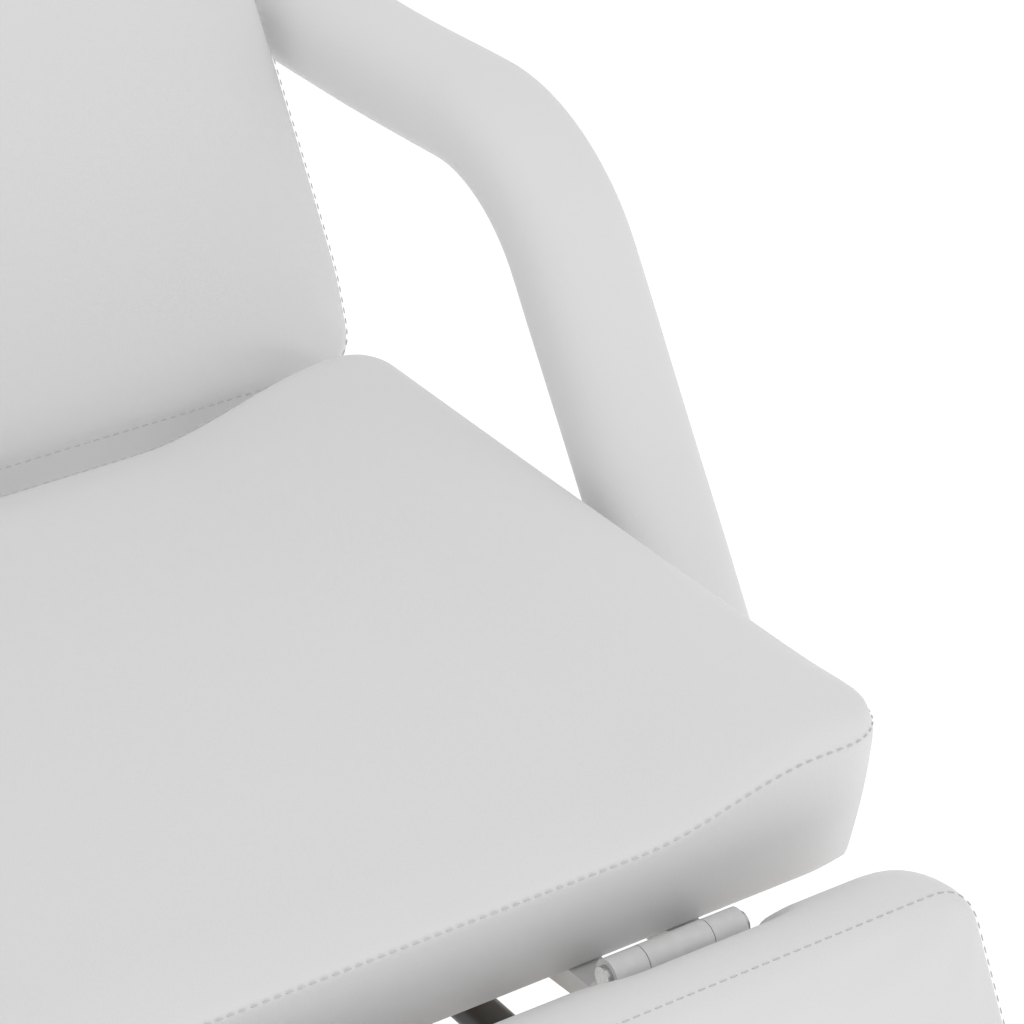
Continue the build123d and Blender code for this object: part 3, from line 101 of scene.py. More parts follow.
def graded(count: int, edge: Sequence[float], half: float) -> list[float]:
    """Grid lines from -1 to 1 that lie closer together near both ends.

    Args:
        count: Even steps between the innermost edge lines.
        edge: Distances in from the end, in metres, nearest the end first.
        half: Half the length that -1 to 1 stands for, in metres.

    Returns:
        The lines in rising order, -1 and 1 included.
    """
    rim = [1.0 - d / half for d in (0.0, *edge)]
    inner = rim[-1]
    middle = [-inner + 2.0 * inner * i / count for i in range(1, count)]
    return [-v for v in rim] + middle + rim[::-1]


def mesh_object(name: str, points: Sequence[Vector], faces: Sequence[Sequence[int]]) -> bpy.types.Object:
    """Makes a mesh object at the origin with its faces pointing outwards.

    Args:
        name: The piece's name.
        points: Vertices in the row frame, in metres.
        faces: Vertex numbers of each face.

    Returns:
        The linked object.
    """
    mesh = bpy.data.meshes.new(name)
    mesh.from_pydata([tuple(p) for p in points], [], [tuple(f) for f in faces])
    work = bmesh.new()
    work.from_mesh(mesh)
    bmesh.ops.recalc_face_normals(work, faces=work.faces)
    work.to_mesh(mesh)
    work.free()
    mesh.polygons.foreach_set("use_smooth", [True] * len(mesh.polygons))
    piece = bpy.data.objects.new(name, mesh)
    bpy.context.scene.collection.objects.link(piece)
    return piece


def made_plain(source: bpy.types.Object, name: str) -> bpy.types.Object:
    """Turns what an object's modifiers make into a plain mesh object and removes the source.

    Args:
        source: The object whose modifiers are evaluated.
        name: The new object's name.

    Returns:
        The plain mesh object.
    """
    bpy.context.view_layer.update()
    graph = bpy.context.evaluated_depsgraph_get()
    mesh = bpy.data.meshes.new_from_object(source.evaluated_get(graph), depsgraph=graph)
    mesh.name = name
    bpy.data.objects.remove(source, do_unlink=True)
    plain = bpy.data.objects.new(name, mesh)
    bpy.context.scene.collection.objects.link(plain)
    return plain


@dataclass(frozen=True)
class Hinged:
    """The frame of a tilting section: u runs along it, w points out of its face."""

    origin: Vector
    angle: float

    def place(self, x: float, u: float, w: float) -> Vector:
        """The row frame's point for a place across, along and out of the section."""
        c, s = math.cos(self.angle), math.sin(self.angle)
        return self.origin + Vector((x, u * c - w * s, u * s + w * c))


# ------------------------------------------------------------------ shader groups
class Shade(Enum):
    """The node groups that the finishes share."""

    GRAIN = "leather_grain"
    MOTTLE = "soft_mottle"
    WEAR = "edge_wear"
    DUST = "settled_dust"
    SCUFF = "fine_scuffs"


@dataclass
class GroupMaker:
    """Builds one shader node group with named sockets.

    Attributes:
        shade: The group's name.
        inputs: Socket names with their starting values.
        output: The name of the value that the group puts out.
    """

    shade: Shade
    inputs: dict[str, float]
    output: str
    tree: bpy.types.NodeTree = field(init=False)

    def __post_init__(self) -> None:
        """Makes the empty group with its sockets."""
        self.tree = bpy.data.node_groups.new(self.shade.value, "ShaderNodeTree")
        for name, value in self.inputs.items():
            socket = self.tree.interface.new_socket(name=name, in_out="INPUT", socket_type="NodeSocketFloat")
            socket.default_value = value
        self.tree.interface.new_socket(name=self.output, in_out="OUTPUT", socket_type="NodeSocketFloat")
        self.given = self.node("NodeGroupInput").outputs
        self.result = self.node("NodeGroupOutput").inputs[0]

    def node(self, kind: str, **settings: object) -> bpy.types.Node:
        """Adds a node and sets its properties."""
        made = self.tree.nodes.new(kind)
        for key, value in settings.items():
            setattr(made, key, value)
        return made

    def link(self, start: bpy.types.NodeSocket, end: bpy.types.NodeSocket) -> None:
        """Joins two sockets."""
        self.tree.links.new(start, end)

    def place(self) -> bpy.types.NodeSocket:
        """The piece's own coordinates."""
        return self.node("ShaderNodeTexCoord").outputs["Object"]

    def maths(self, operation: str, first: object, second: object) -> bpy.types.NodeSocket:
        """Adds a sum node over two sockets or numbers.

        Args:
            operation: The node's operation.
            first: A socket or a number.
            second: A socket or a number.

        Returns:
            The result's socket.
        """
        made = self.node("ShaderNodeMath", operation=operation)
        for slot, value in zip(made.inputs, (first, second)):
            if isinstance(value, bpy.types.NodeSocket):
                self.link(value, slot)
            else:
                slot.default_value = value
        return made.outputs[0]

    def noise(self, scale: object, detail: float, stretch: Vector | None = None) -> bpy.types.NodeSocket:
        """Adds a noise texture on the piece's coordinates.

        Args:
            scale: A socket or a number.
            detail: How many finer layers it holds.
            stretch: Scale along each axis, or None for an even noise.

        Returns:
            The noise value's socket.
        """
        texture = self.node("ShaderNodeTexNoise")
        texture.inputs["Detail"].default_value = detail
        where = self.place()
        if stretch is not None:
            mapping = self.node("ShaderNodeMapping")
            mapping.inputs["Scale"].default_value = stretch
            self.link(where, mapping.inputs["Vector"])
            where = mapping.outputs["Vector"]
        self.link(where, texture.inputs["Vector"])
        if isinstance(scale, bpy.types.NodeSocket):
            self.link(scale, texture.inputs["Scale"])
        else:
            texture.inputs["Scale"].default_value = scale
        return texture.outputs[0]


def leather_grain() -> bpy.types.NodeTree:
    """Pebbled grain: rounded cells with fine creases between them, and finer pores on top."""
    made = GroupMaker(Shade.GRAIN, {"Scale": 900.0, "Creases": 0.6, "Pores": 0.25}, "Height")
    cells = made.node("ShaderNodeTexVoronoi", feature="SMOOTH_F1")
    cells.inputs["Smoothness"].default_value = 0.35
    bend = made.node("ShaderNodeVectorMath", operation="MULTIPLY_ADD")
    warp = made.node("ShaderNodeTexNoise")
    warp.inputs["Scale"].default_value = 140.0
    warp.inputs["Detail"].default_value = 2.0
    made.link(made.place(), warp.inputs["Vector"])
    made.link(warp.outputs["Color"], bend.inputs[0])
    bend.inputs[1].default_value = (0.0016, 0.0016, 0.0016)
    made.link(made.place(), bend.inputs[2])
    made.link(bend.outputs[0], cells.inputs["Vector"])
    made.link(made.given["Scale"], cells.inputs["Scale"])
    pebbles = made.maths("SUBTRACT", 1.0, cells.outputs["Distance"])
    creased = made.maths("MULTIPLY", pebbles, made.given["Creases"])
    pores = made.noise(made.maths("MULTIPLY", made.given["Scale"], 2.7), 3.0)
    fine = made.maths("MULTIPLY", pores, made.given["Pores"])
    made.link(made.maths("ADD", creased, fine), made.result)
    return made.tree


def soft_mottle() -> bpy.types.NodeTree:
    """Slow, uneven change over a surface, from 0 to 1."""
    made = GroupMaker(Shade.MOTTLE, {"Scale": 9.0, "Contrast": 1.6}, "Mask")
    broad = made.noise(made.given["Scale"], 4.0)
    centred = made.maths("MULTIPLY", made.maths("SUBTRACT", broad, 0.5), made.given["Contrast"])
    clamp = made.node("ShaderNodeClamp")
    made.link(made.maths("ADD", centred, 0.5), clamp.inputs["Value"])
    made.link(clamp.outputs[0], made.result)
    return made.tree


def edge_wear() -> bpy.types.NodeTree:
    """Worn where the shape is sharp and convex, broken up by noise."""
    made = GroupMaker(Shade.WEAR, {"Start": 0.53, "Width": 0.06, "Breakup": 130.0}, "Mask")
    shape = made.node("ShaderNodeNewGeometry").outputs["Pointiness"]
    above = made.maths("SUBTRACT", shape, made.given["Start"])
    ramp = made.maths("DIVIDE", above, made.given["Width"])
    broken = made.maths("MULTIPLY", ramp, made.noise(made.given["Breakup"], 5.0))
    clamp = made.node("ShaderNodeClamp")
    made.link(broken, clamp.inputs["Value"])
    made.link(clamp.outputs[0], made.result)
    return made.tree


def settled_dust() -> bpy.types.NodeTree:
    """Dust that lies on faces that point up, in soft patches."""
    made = GroupMaker(Shade.DUST, {"Amount": 0.3, "Patches": 24.0}, "Mask")
    split = made.node("ShaderNodeSeparateXYZ")
    made.link(made.node("ShaderNodeNewGeometry").outputs["Normal"], split.inputs[0])
    upward = made.maths("POWER", made.maths("MAXIMUM", split.outputs["Z"], 0.0), 3.0)
    patchy = made.maths("MULTIPLY", upward, made.noise(made.given["Patches"], 6.0))
    made.link(made.maths("MULTIPLY", patchy, made.given["Amount"]), made.result)
    return made.tree


def fine_scuffs() -> bpy.types.NodeTree:
    """Hair-fine rubbing marks that run mostly one way."""
    made = GroupMaker(Shade.SCUFF, {"Scale": 60.0, "Sharpness": 3.0}, "Mask")
    streaks = made.noise(made.given["Scale"], 7.0, Vector((1.0, 9.0, 2.2)))
    made.link(made.maths("POWER", streaks, made.given["Sharpness"]), made.result)
    return made.tree


GROUPS: dict[Shade, Callable[[], bpy.types.NodeTree]] = {
    Shade.GRAIN: leather_grain,
    Shade.MOTTLE: soft_mottle,
    Shade.WEAR: edge_wear,
    Shade.DUST: settled_dust,
    Shade.SCUFF: fine_scuffs,
}


# ------------------------------------------------------------------ finishes
@dataclass(frozen=True)
class Finish:
    """A surface: its colours, roughness and the shared effects that change it.

    Attributes:
        name: The material's name.
        colour: Main colour, linear.
        second: Colour where the mottle, wear or scuffs show.
        mottle: How far the mottle changes the colour, 0 to 1.
        mottle_scale: Size of the mottle, larger is finer.
        rough: Lowest and highest roughness.
        metallic: 0 or 1.
        grain: Grain cells per metre, or 0 for none.
        grain_height: Height of the grain in metres.
        wear: How strongly edges show the worn colour.
        worn: Colour of worn edges, linear.
        dust: How much dust lies on upward faces.
        scuffs: How strongly fine scuffs change the roughness.
        coat: Weight of a clear coat.
        sheen: Weight of the soft sheen.
        specular: Specular level.
    """

    name: str
    colour: tuple[float, float, float]
    second: tuple[float, float, float]
    mottle: float = 0.5
    mottle_scale: float = 9.0
    rough: tuple[float, float] = (0.4, 0.55)
    metallic: float = 0.0
    grain: float = 0.0
    grain_height: float = 0.0002
    wear: float = 0.0
    worn: tuple[float, float, float] = (0.5, 0.5, 0.5)
    dust: float = 0.0
    scuffs: float = 0.0
    coat: float = 0.0
    sheen: float = 0.0
    specular: float = 0.5

    def build(self, groups: dict[Shade, bpy.types.NodeTree]) -> bpy.types.Material:
        """Makes the material.

        Args:
            groups: The shared shader groups.

        Returns:
            The finished material.
        """
        material = bpy.data.materials.new(self.name)
        material.use_nodes = True
        tree = material.node_tree
        surface = tree.nodes["Principled BSDF"]
        surface.inputs["Metallic"].default_value = self.metallic
        surface.inputs["Specular IOR Level"].default_value = self.specular
        surface.inputs["Coat Weight"].default_value = self.coat
        surface.inputs["Coat Roughness"].default_value = 0.12
        surface.inputs["Sheen Weight"].default_value = self.sheen
        surface.inputs["Sheen Roughness"].default_value = 0.45
        material.diffuse_color = (*self.colour, 1.0)

        def shared(shade: Shade, **values: float) -> bpy.types.NodeSocket:
            """Places a shared group with its own values and gives its output."""
            node = tree.nodes.new("ShaderNodeGroup")
            node.node_tree = groups[shade]
            for key, value in values.items():
                node.inputs[key].default_value = value
            return node.outputs[0]

        def mixed(amount: object, low: object, high: object) -> bpy.types.NodeSocket:
            """Adds a colour mix whose factor is a socket or a number."""
            node = tree.nodes.new("ShaderNodeMix")
            node.data_type = "RGBA"
            sockets = (node.inputs["Factor"], node.inputs[6], node.inputs[7])
            for slot, value in zip(sockets, (amount, low, high)):
                if isinstance(value, bpy.types.NodeSocket):
                    tree.links.new(value, slot)
                elif isinstance(value, tuple):
                    slot.default_value = (*value, 1.0)
                else:
                    slot.default_value = value
            return node.outputs[2]

        def scaled(source: bpy.types.NodeSocket, by: float, plus: float = 0.0) -> bpy.types.NodeSocket:
            """Multiplies a value and adds to it."""
            node = tree.nodes.new("ShaderNodeMath")
            node.operation = "MULTIPLY_ADD"
            tree.links.new(source, node.inputs[0])
            node.inputs[1].default_value = by
            node.inputs[2].default_value = plus
            return node.outputs[0]

        mask = shared(Shade.MOTTLE, Scale=self.mottle_scale)
        colour = mixed(scaled(mask, self.mottle), self.colour, self.second)
        if self.wear:
            colour = mixed(scaled(shared(Shade.WEAR), self.wear), colour, self.worn)
        if self.dust:
            colour = mixed(shared(Shade.DUST, Amount=self.dust), colour, DUST_COLOUR)
        tree.links.new(colour, surface.inputs["Base Color"])
        low, high = self.rough
        changing = shared(Shade.SCUFF) if self.scuffs else mask
        spread = (high - low) * (self.scuffs or 1.0)
        tree.links.new(scaled(changing, spread, low), surface.inputs["Roughness"])
        if self.grain:
            bump = tree.nodes.new("ShaderNodeBump")
            bump.inputs["Strength"].default_value = 0.5
            bump.inputs["Distance"].default_value = self.grain_height
            tree.links.new(shared(Shade.GRAIN, Scale=self.grain), bump.inputs["Height"])
            tree.links.new(bump.outputs["Normal"], surface.inputs["Normal"])
        return material


class Slot(Enum):
    """The record's material slots, and the extra finishes that only show here."""

    LEATHERETTE = "white_leatherette"
    PLYWOOD = "plywood"
    FRAME = "white_frame"
    CHROME = "chrome"
    ZINC = "zinc_steel"
    BLACK_STEEL = "black_steel"
    RUBBER = "black_rubber"
    PLASTIC = "black_plastic"
    BRONZE = "bronze_bush"
    THREAD = "white_thread"
    STAPLE = "staple_wire"


FINISHES: dict[Slot, Finish] = {
    Slot.LEATHERETTE: Finish("white_leatherette", (0.765, 0.765, 0.765), (0.745, 0.746, 0.748), mottle=0.7,
                             mottle_scale=6.0, rough=(0.46, 0.58), grain=1100.0, grain_height=0.00022,
                             sheen=0.06, specular=0.42, coat=0.04),
    Slot.PLYWOOD: Finish("birch_ply", (0.52, 0.36, 0.21), (0.42, 0.27, 0.14), mottle=0.9, mottle_scale=38.0,
                         rough=(0.5, 0.7), grain=420.0, grain_height=0.00012, dust=0.1),
    Slot.FRAME: Finish("white_powder_coat", (0.8, 0.8, 0.8), (0.76, 0.76, 0.755), mottle=0.6,
                       mottle_scale=20.0, rough=(0.3, 0.42), grain=1600.0, grain_height=0.00006, wear=0.25,
                       worn=(0.42, 0.42, 0.42), dust=0.08),
    Slot.CHROME: Finish("bright_chrome", (0.78, 0.79, 0.8), (0.66, 0.67, 0.69), mottle=0.5, mottle_scale=14.0,
                        rough=(0.06, 0.2), metallic=1.0, scuffs=0.8, dust=0.06),
    Slot.ZINC: Finish("zinc_plate", (0.6, 0.61, 0.62), (0.45, 0.45, 0.44), mottle=0.8, mottle_scale=60.0,
                      rough=(0.25, 0.5), metallic=1.0, scuffs=0.9, wear=0.3, worn=(0.72, 0.72, 0.72)),
    Slot.BLACK_STEEL: Finish("black_paint", (0.028, 0.028, 0.03), (0.05, 0.05, 0.052), mottle=0.6,
                             mottle_scale=18.0, rough=(0.28, 0.46), grain=1300.0, grain_height=0.00006,
                             wear=0.5, worn=(0.3, 0.3, 0.3), dust=0.16, scuffs=0.9),
    Slot.RUBBER: Finish("black_rubber", (0.022, 0.022, 0.023), (0.045, 0.044, 0.043), mottle=0.7,
                        mottle_scale=30.0, rough=(0.66, 0.86), grain=700.0, grain_height=0.00012, dust=0.22,
                        wear=0.3, worn=(0.12, 0.12, 0.12)),
    Slot.PLASTIC: Finish("black_plastic", (0.03, 0.03, 0.032), (0.045, 0.045, 0.047), mottle=0.5,
                         mottle_scale=26.0, rough=(0.36, 0.52), grain=2200.0, grain_height=0.00005, wear=0.4,
                         worn=(0.16, 0.16, 0.16), dust=0.1),
    Slot.BRONZE: Finish("bronze_bush", (0.52, 0.33, 0.14), (0.38, 0.22, 0.09), mottle=0.8, mottle_scale=70.0,
                        rough=(0.25, 0.45), metallic=1.0, scuffs=0.7),
    Slot.THREAD: Finish("white_thread", (0.64, 0.64, 0.64), (0.56, 0.56, 0.56), mottle=0.6,
                        mottle_scale=300.0, rough=(0.5, 0.7), grain=5200.0, grain_height=0.0001, sheen=0.1),
    Slot.STAPLE: Finish("staple_wire", (0.6, 0.6, 0.61), (0.5, 0.48, 0.45), mottle=0.7, mottle_scale=200.0,
                        rough=(0.2, 0.4), metallic=1.0, scuffs=0.6),
}


class Finisher:
    """Keeps one material for each finish and puts it on pieces."""

    def __init__(self) -> None:
        """Builds the shared groups and every material."""
        self.groups = {shade: make() for shade, make in GROUPS.items()}
        self.materials = {slot: finish.build(self.groups) for slot, finish in FINISHES.items()}

    def dress(self, piece: bpy.types.Object, slot: Slot) -> bpy.types.Object:
        """Gives a whole piece one finish.

        Args:
            piece: The object to dress.
            slot: The finish it gets.

        Returns:
            The same object.
        """
        if piece.material_slots:
            for held in piece.material_slots:
                held.material = self.materials[slot]
        else:
            piece.data.materials.append(self.materials[slot])
        return piece

    def dress_frame(self) -> None:
        """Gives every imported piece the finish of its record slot."""
        for entry in frame["record"]["subparts"]:
            self.dress(frame["nodes"][entry["node"]], Slot(entry["material_slot"]))


# ------------------------------------------------------------------ repeated small things
@dataclass
class RowMaker:
    """A Geometry Nodes tree that sets one small shape along a line, turned to follow it.

    Attributes:
        name: The tree's name.
        shape: Length, width and height of the small shape, in metres.
        corners: Sides of the small shape's ends.
        flat: True for a flat-backed bar, False for a rounded thread.
    """

    name: str
    shape: tuple[float, float, float]
    corners: int = 6
    flat: bool = False

    def tree(self) -> bpy.types.NodeTree:
        """Builds the tree: resample, place, turn, realise, set material."""
        tree = bpy.data.node_groups.new(self.name, "GeometryNodeTree")
        sockets = tree.interface
        sockets.new_socket(name="Line", in_out="INPUT", socket_type="NodeSocketGeometry")
        pitch = sockets.new_socket(name="Pitch", in_out="INPUT", socket_type="NodeSocketFloat")
        pitch.default_value = 0.006
        sockets.new_socket(name="Size", in_out="INPUT", socket_type="NodeSocketVector")
        sockets.new_socket(name="Finish", in_out="INPUT", socket_type="NodeSocketMaterial")
        sockets.new_socket(name="Row", in_out="OUTPUT", socket_type="NodeSocketGeometry")
        nodes, links = tree.nodes, tree.links
        given, result = nodes.new("NodeGroupInput"), nodes.new("NodeGroupOutput")
        line = nodes.new("GeometryNodeMeshToCurve")
        sample = nodes.new("GeometryNodeResampleCurve")
        sample.mode = "LENGTH"
        place = nodes.new("GeometryNodeInstanceOnPoints")
        turn = nodes.new("FunctionNodeAlignEulerToVector")
        turn.axis = "X"
        tangent = nodes.new("GeometryNodeInputTangent")
        if self.flat:
            small = nodes.new("GeometryNodeMeshCube")
        else:
            small = nodes.new("GeometryNodeMeshUVSphere")
            small.inputs["Segments"].default_value = self.corners
            small.inputs["Rings"].default_value = 5
            small.inputs["Radius"].default_value = 0.5
        realise = nodes.new("GeometryNodeRealizeInstances")
        colour = nodes.new("GeometryNodeSetMaterial")
        links.new(given.outputs["Line"], line.inputs["Mesh"])
        links.new(line.outputs["Curve"], sample.inputs["Curve"])
        links.new(given.outputs["Pitch"], sample.inputs["Length"])
        links.new(sample.outputs["Curve"], place.inputs["Points"])
        links.new(small.outputs["Mesh"], place.inputs["Instance"])
        links.new(tangent.outputs["Tangent"], turn.inputs["Vector"])
        links.new(turn.outputs["Rotation"], place.inputs["Rotation"])
        links.new(given.outputs["Size"], place.inputs["Scale"])
        links.new(place.outputs["Instances"], realise.inputs["Geometry"])
        links.new(realise.outputs["Geometry"], colour.inputs["Geometry"])
        links.new(given.outputs["Finish"], colour.inputs["Material"])
        links.new(colour.outputs["Geometry"], result.inputs["Row"])
        return tree


class Rows:
    """Lays rows of stitches or staples along lines, as plain meshes."""

    def __init__(self, finisher: Finisher) -> None:
        """Builds the two trees once.

        Args:
            finisher: Where the materials come from.
        """
        self.finisher = finisher
        self.makers = {
            Slot.THREAD: RowMaker("stitch_row", (0.0042, 0.0009, 0.0009)),
            Slot.STAPLE: RowMaker("staple_row", (0.0008, 0.011, 0.0008), flat=True),
        }
        self.trees = {slot: maker.tree() for slot, maker in self.makers.items()}

    def lay(self, name: str, lines: Sequence[Sequence[Vector]], kind: Slot, pitch: float, body: str,
            closed: bool = True) -> bpy.types.Object:
        """Lays one row along each line.

        Args:
            name: The new piece's name.
            lines: Points of each line, in the row frame.
            kind: THREAD or STAPLE.
            pitch: Distance from one to the next, in metres.
            body: The body that the row rides on.
            closed: Whether each line runs back to its start.

        Returns:
            The row as one plain mesh.
        """
        mesh = bpy.data.meshes.new(name + "_line")
        points: list[tuple[float, float, float]] = []
        edges: list[tuple[int, int]] = []
        for line in lines:
            first = len(points)
            points.extend(tuple(p) for p in line)
            edges.extend((i, i + 1) for i in range(first, len(points) - 1))
            if closed:
                edges.append((len(points) - 1, first))
        mesh.from_pydata(points, edges, [])
        carrier = bpy.data.objects.new(name + "_line", mesh)
        bpy.context.scene.collection.objects.link(carrier)
        modifier = carrier.modifiers.new("row", "NODES")
        modifier.node_group = self.trees[kind]
        for item in self.trees[kind].interface.items_tree:
            if item.in_out == "OUTPUT":
                continue
            if item.name == "Pitch":
                modifier[item.identifier] = pitch
            elif item.name == "Size":
                modifier[item.identifier] = self.makers[kind].shape
            elif item.name == "Finish":
                modifier[item.identifier] = self.finisher.materials[kind]
        row = made_plain(carrier, name)
        row.data.polygons.foreach_set("use_smooth", [kind is Slot.THREAD] * len(row.data.polygons))
        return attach(row, body)


# ------------------------------------------------------------------ upholstery
@dataclass
class Cushion:
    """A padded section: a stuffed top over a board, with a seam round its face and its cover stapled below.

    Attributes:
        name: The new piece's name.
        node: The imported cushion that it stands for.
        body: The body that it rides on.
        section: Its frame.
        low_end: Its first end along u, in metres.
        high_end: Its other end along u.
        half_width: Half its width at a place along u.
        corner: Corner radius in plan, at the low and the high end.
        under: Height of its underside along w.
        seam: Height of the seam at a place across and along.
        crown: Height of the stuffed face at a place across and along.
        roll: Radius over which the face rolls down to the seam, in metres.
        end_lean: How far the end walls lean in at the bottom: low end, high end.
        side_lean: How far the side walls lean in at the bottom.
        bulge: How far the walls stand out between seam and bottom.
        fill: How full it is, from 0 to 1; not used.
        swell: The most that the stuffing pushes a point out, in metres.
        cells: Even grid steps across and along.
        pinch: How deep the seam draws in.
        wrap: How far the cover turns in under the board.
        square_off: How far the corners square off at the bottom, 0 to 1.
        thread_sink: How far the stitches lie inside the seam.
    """

    name: str
    node: str
    body: str
    section: Hinged
    low_end: float
    high_end: float
    half_width: Callable[[float], float]
    corner: tuple[float, float]
    under: float
    seam: Callable[[float, float], float]
    crown: Callable[[float, float], float]
    roll: float
    end_lean: tuple[float, float]
    side_lean: float
    bulge: float = 0.003
    fill: float = 0.8
    swell: float = 0.004
    cells: tuple[int, int] = (56, 48)
    pinch: float = 0.0012
    wrap: float = 0.018
    square_off: float = 0.0
    thread_sink: float = -0.0003

    @property
    def half_long(self) -> float:
        """Half the cushion's length."""
        return (self.high_end - self.low_end) / 2

    @property
    def middle(self) -> float:
        """The place of its middle along u."""
        return (self.high_end + self.low_end) / 2

    def outward(self, p: Vector) -> Vector:
        """The direction out of the outline at a rim point, in the section's own plan."""
        flat = Vector((p.x / self.half_width(p.y), (p.y - self.middle) / self.half_long, 0.0))
        return flat.normalized()

    def plan(self, a: float, b: float) -> tuple[float, float, float]:
        """Maps the grid onto the rounded outline.

        Args:
            a: Across, from -1 to 1.
            b: Along, from -1 to 1.

        Returns:
            The place across, the place along, and the distance in from the outline.
        """
        half_long, middle = self.half_long, self.middle
        widest = self.half_width(middle)
        radius = self.corner[1] if b > 0 else self.corner[0]
        x, u = a * widest, b * half_long
        px = (abs(x) - (widest - radius)) / radius
        pu = (abs(u) - (half_long - radius)) / radius
        if px > 0 and pu > 0:
            reach, ring = math.hypot(px, pu), max(px, pu)
            px, pu = px / reach * ring, pu / reach * ring
            inset = (1.0 - ring) * radius
            x = math.copysign(widest - radius + px * radius, x)
            u = math.copysign(half_long - radius + pu * radius, u)
        else:
            inset = min(widest - abs(x), half_long - abs(u))
        along = middle + u
        return x * self.half_width(along) / widest, along, inset

    def face_height(self, x: float, u: float, inset: float) -> float:
        """Height of the stuffed face, which rolls down to the seam at its rim."""
        low = self.seam(x, u)
        return low + (self.crown(x, u) - low) * quarter_round(inset, self.roll)

    def lean(self, x: float, u: float, share: float) -> tuple[float, float]:
        """Moves a rim point in by a share of the walls' lean.

        Args:
            x: Place across.
            u: Place along.
            share: 0 at the seam, 1 at the bottom.

        Returns:
            The moved place across and along.
        """
        half_long, middle = self.half_long, self.middle
        width = self.half_width(u)
        ends = self.end_lean[1] if u > middle else self.end_lean[0]
        radius = self.corner[1] if u > middle else self.corner[0]
        px = (abs(x) - (width - radius)) / radius
        pu = (abs(u - middle) - (half_long - radius)) / radius
        if px > 0 and pu > 0 and self.square_off:
            push = 1.0 + (1.0 / max(px, pu) - 1.0) * self.square_off * share
            x = math.copysign(width - radius + px * push * radius, x)
            u = middle + math.copysign(half_long - radius + pu * push * radius, u - middle)
        scale_x = 1.0 - self.side_lean * share / width
        scale_u = 1.0 - ends * share / half_long
        return x * scale_x, middle + (u - middle) * scale_u

    def build(self) -> bpy.types.Object:
        """Makes the mesh: face, walls, and the wrap under the board, open inside.

        Returns:
            The cushion before its stuffing is simulated.
        """
        half_long, middle = self.half_long, self.middle
        rim_steps = (0.0035, 0.008, 0.014, 0.021, 0.029)
        across = graded(self.cells[0], rim_steps, self.half_width(middle))
        along = graded(self.cells[1], rim_steps, half_long)
        points: list[Vector] = []
        index: dict[tuple[int, int], int] = {}
        faces: list[list[int]] = []
        for j, b in enumerate(along):
            for i, a in enumerate(across):
                x, u, inset = self.plan(a, b)
                index[i, j] = len(points)
                points.append(Vector((x, u, self.face_height(x, u, inset))))
        columns, lines = len(across), len(along)
        for j in range(lines - 1):
            for i in range(columns - 1):
                faces.append([index[i, j], index[i + 1, j], index[i + 1, j + 1], index[i, j + 1]])
        ring = [(i, 0) for i in range(columns)]
        ring += [(columns - 1, j) for j in range(1, lines)]
        ring += [(i, lines - 1) for i in range(columns - 2, -1, -1)]
        ring += [(0, j) for j in range(lines - 2, 0, -1)]
        self.rim = [index[key] for key in ring]
        above = self.rim
        rim_points = [points[k].copy() for k in self.rim]
        rows = (0.05, 0.13, 0.26, 0.42, 0.58, 0.74, 0.88, 1.0)
        for share in rows:
            fresh = []
            for p in rim_points:
                x, u = self.lean(p.x, p.y, share)
                out = self.bulge * math.sin(math.pi * min(share * 1.04, 1.0))
                x += out * p.x / self.half_width(p.y)
                u += out * (p.y - middle) / half_long
                fresh.append(len(points))
                points.append(Vector((x, u, p.z + (self.under - p.z) * share)))
            self.join(faces, above, fresh)
            above = fresh
        self.bottom = above
        for inward, drop in ((0.003, 0.0012), (self.wrap, 0.0012), (self.wrap + 0.002, -0.004)):
            fresh = []
            for k in self.bottom:
                p = points[k]
                reach_x = 1.0 - inward / self.half_width(p.y)
                reach_u = 1.0 - inward / half_long
                fresh.append(len(points))
                points.append(Vector((p.x * reach_x, middle + (p.y - middle) * reach_u, self.under - drop)))
            self.join(faces, above, fresh)
            above = fresh
        self.shape_walls(points)
        for k in self.rim:
            points[k] = points[k] - self.outward(points[k]) * self.pinch
        self.seam_line = [self.section.place(*(points[k] - self.outward(points[k]) * self.thread_sink))
                          for k in self.rim]
        self.local = points
        return mesh_object(self.name, [self.section.place(*p) for p in points], faces)

    def shape_walls(self, points: list[Vector]) -> None:
        """Lets a kind of cushion change its walls before they are stuffed."""

    @staticmethod
    def join(faces: list[list[int]], upper: Sequence[int], lower: Sequence[int]) -> None:
        """Adds one band of faces between two rings of the same length."""
        count = len(upper)
        for k in range(count):
            after = (k + 1) % count
            faces.append([upper[k], lower[k], lower[after], upper[after]])

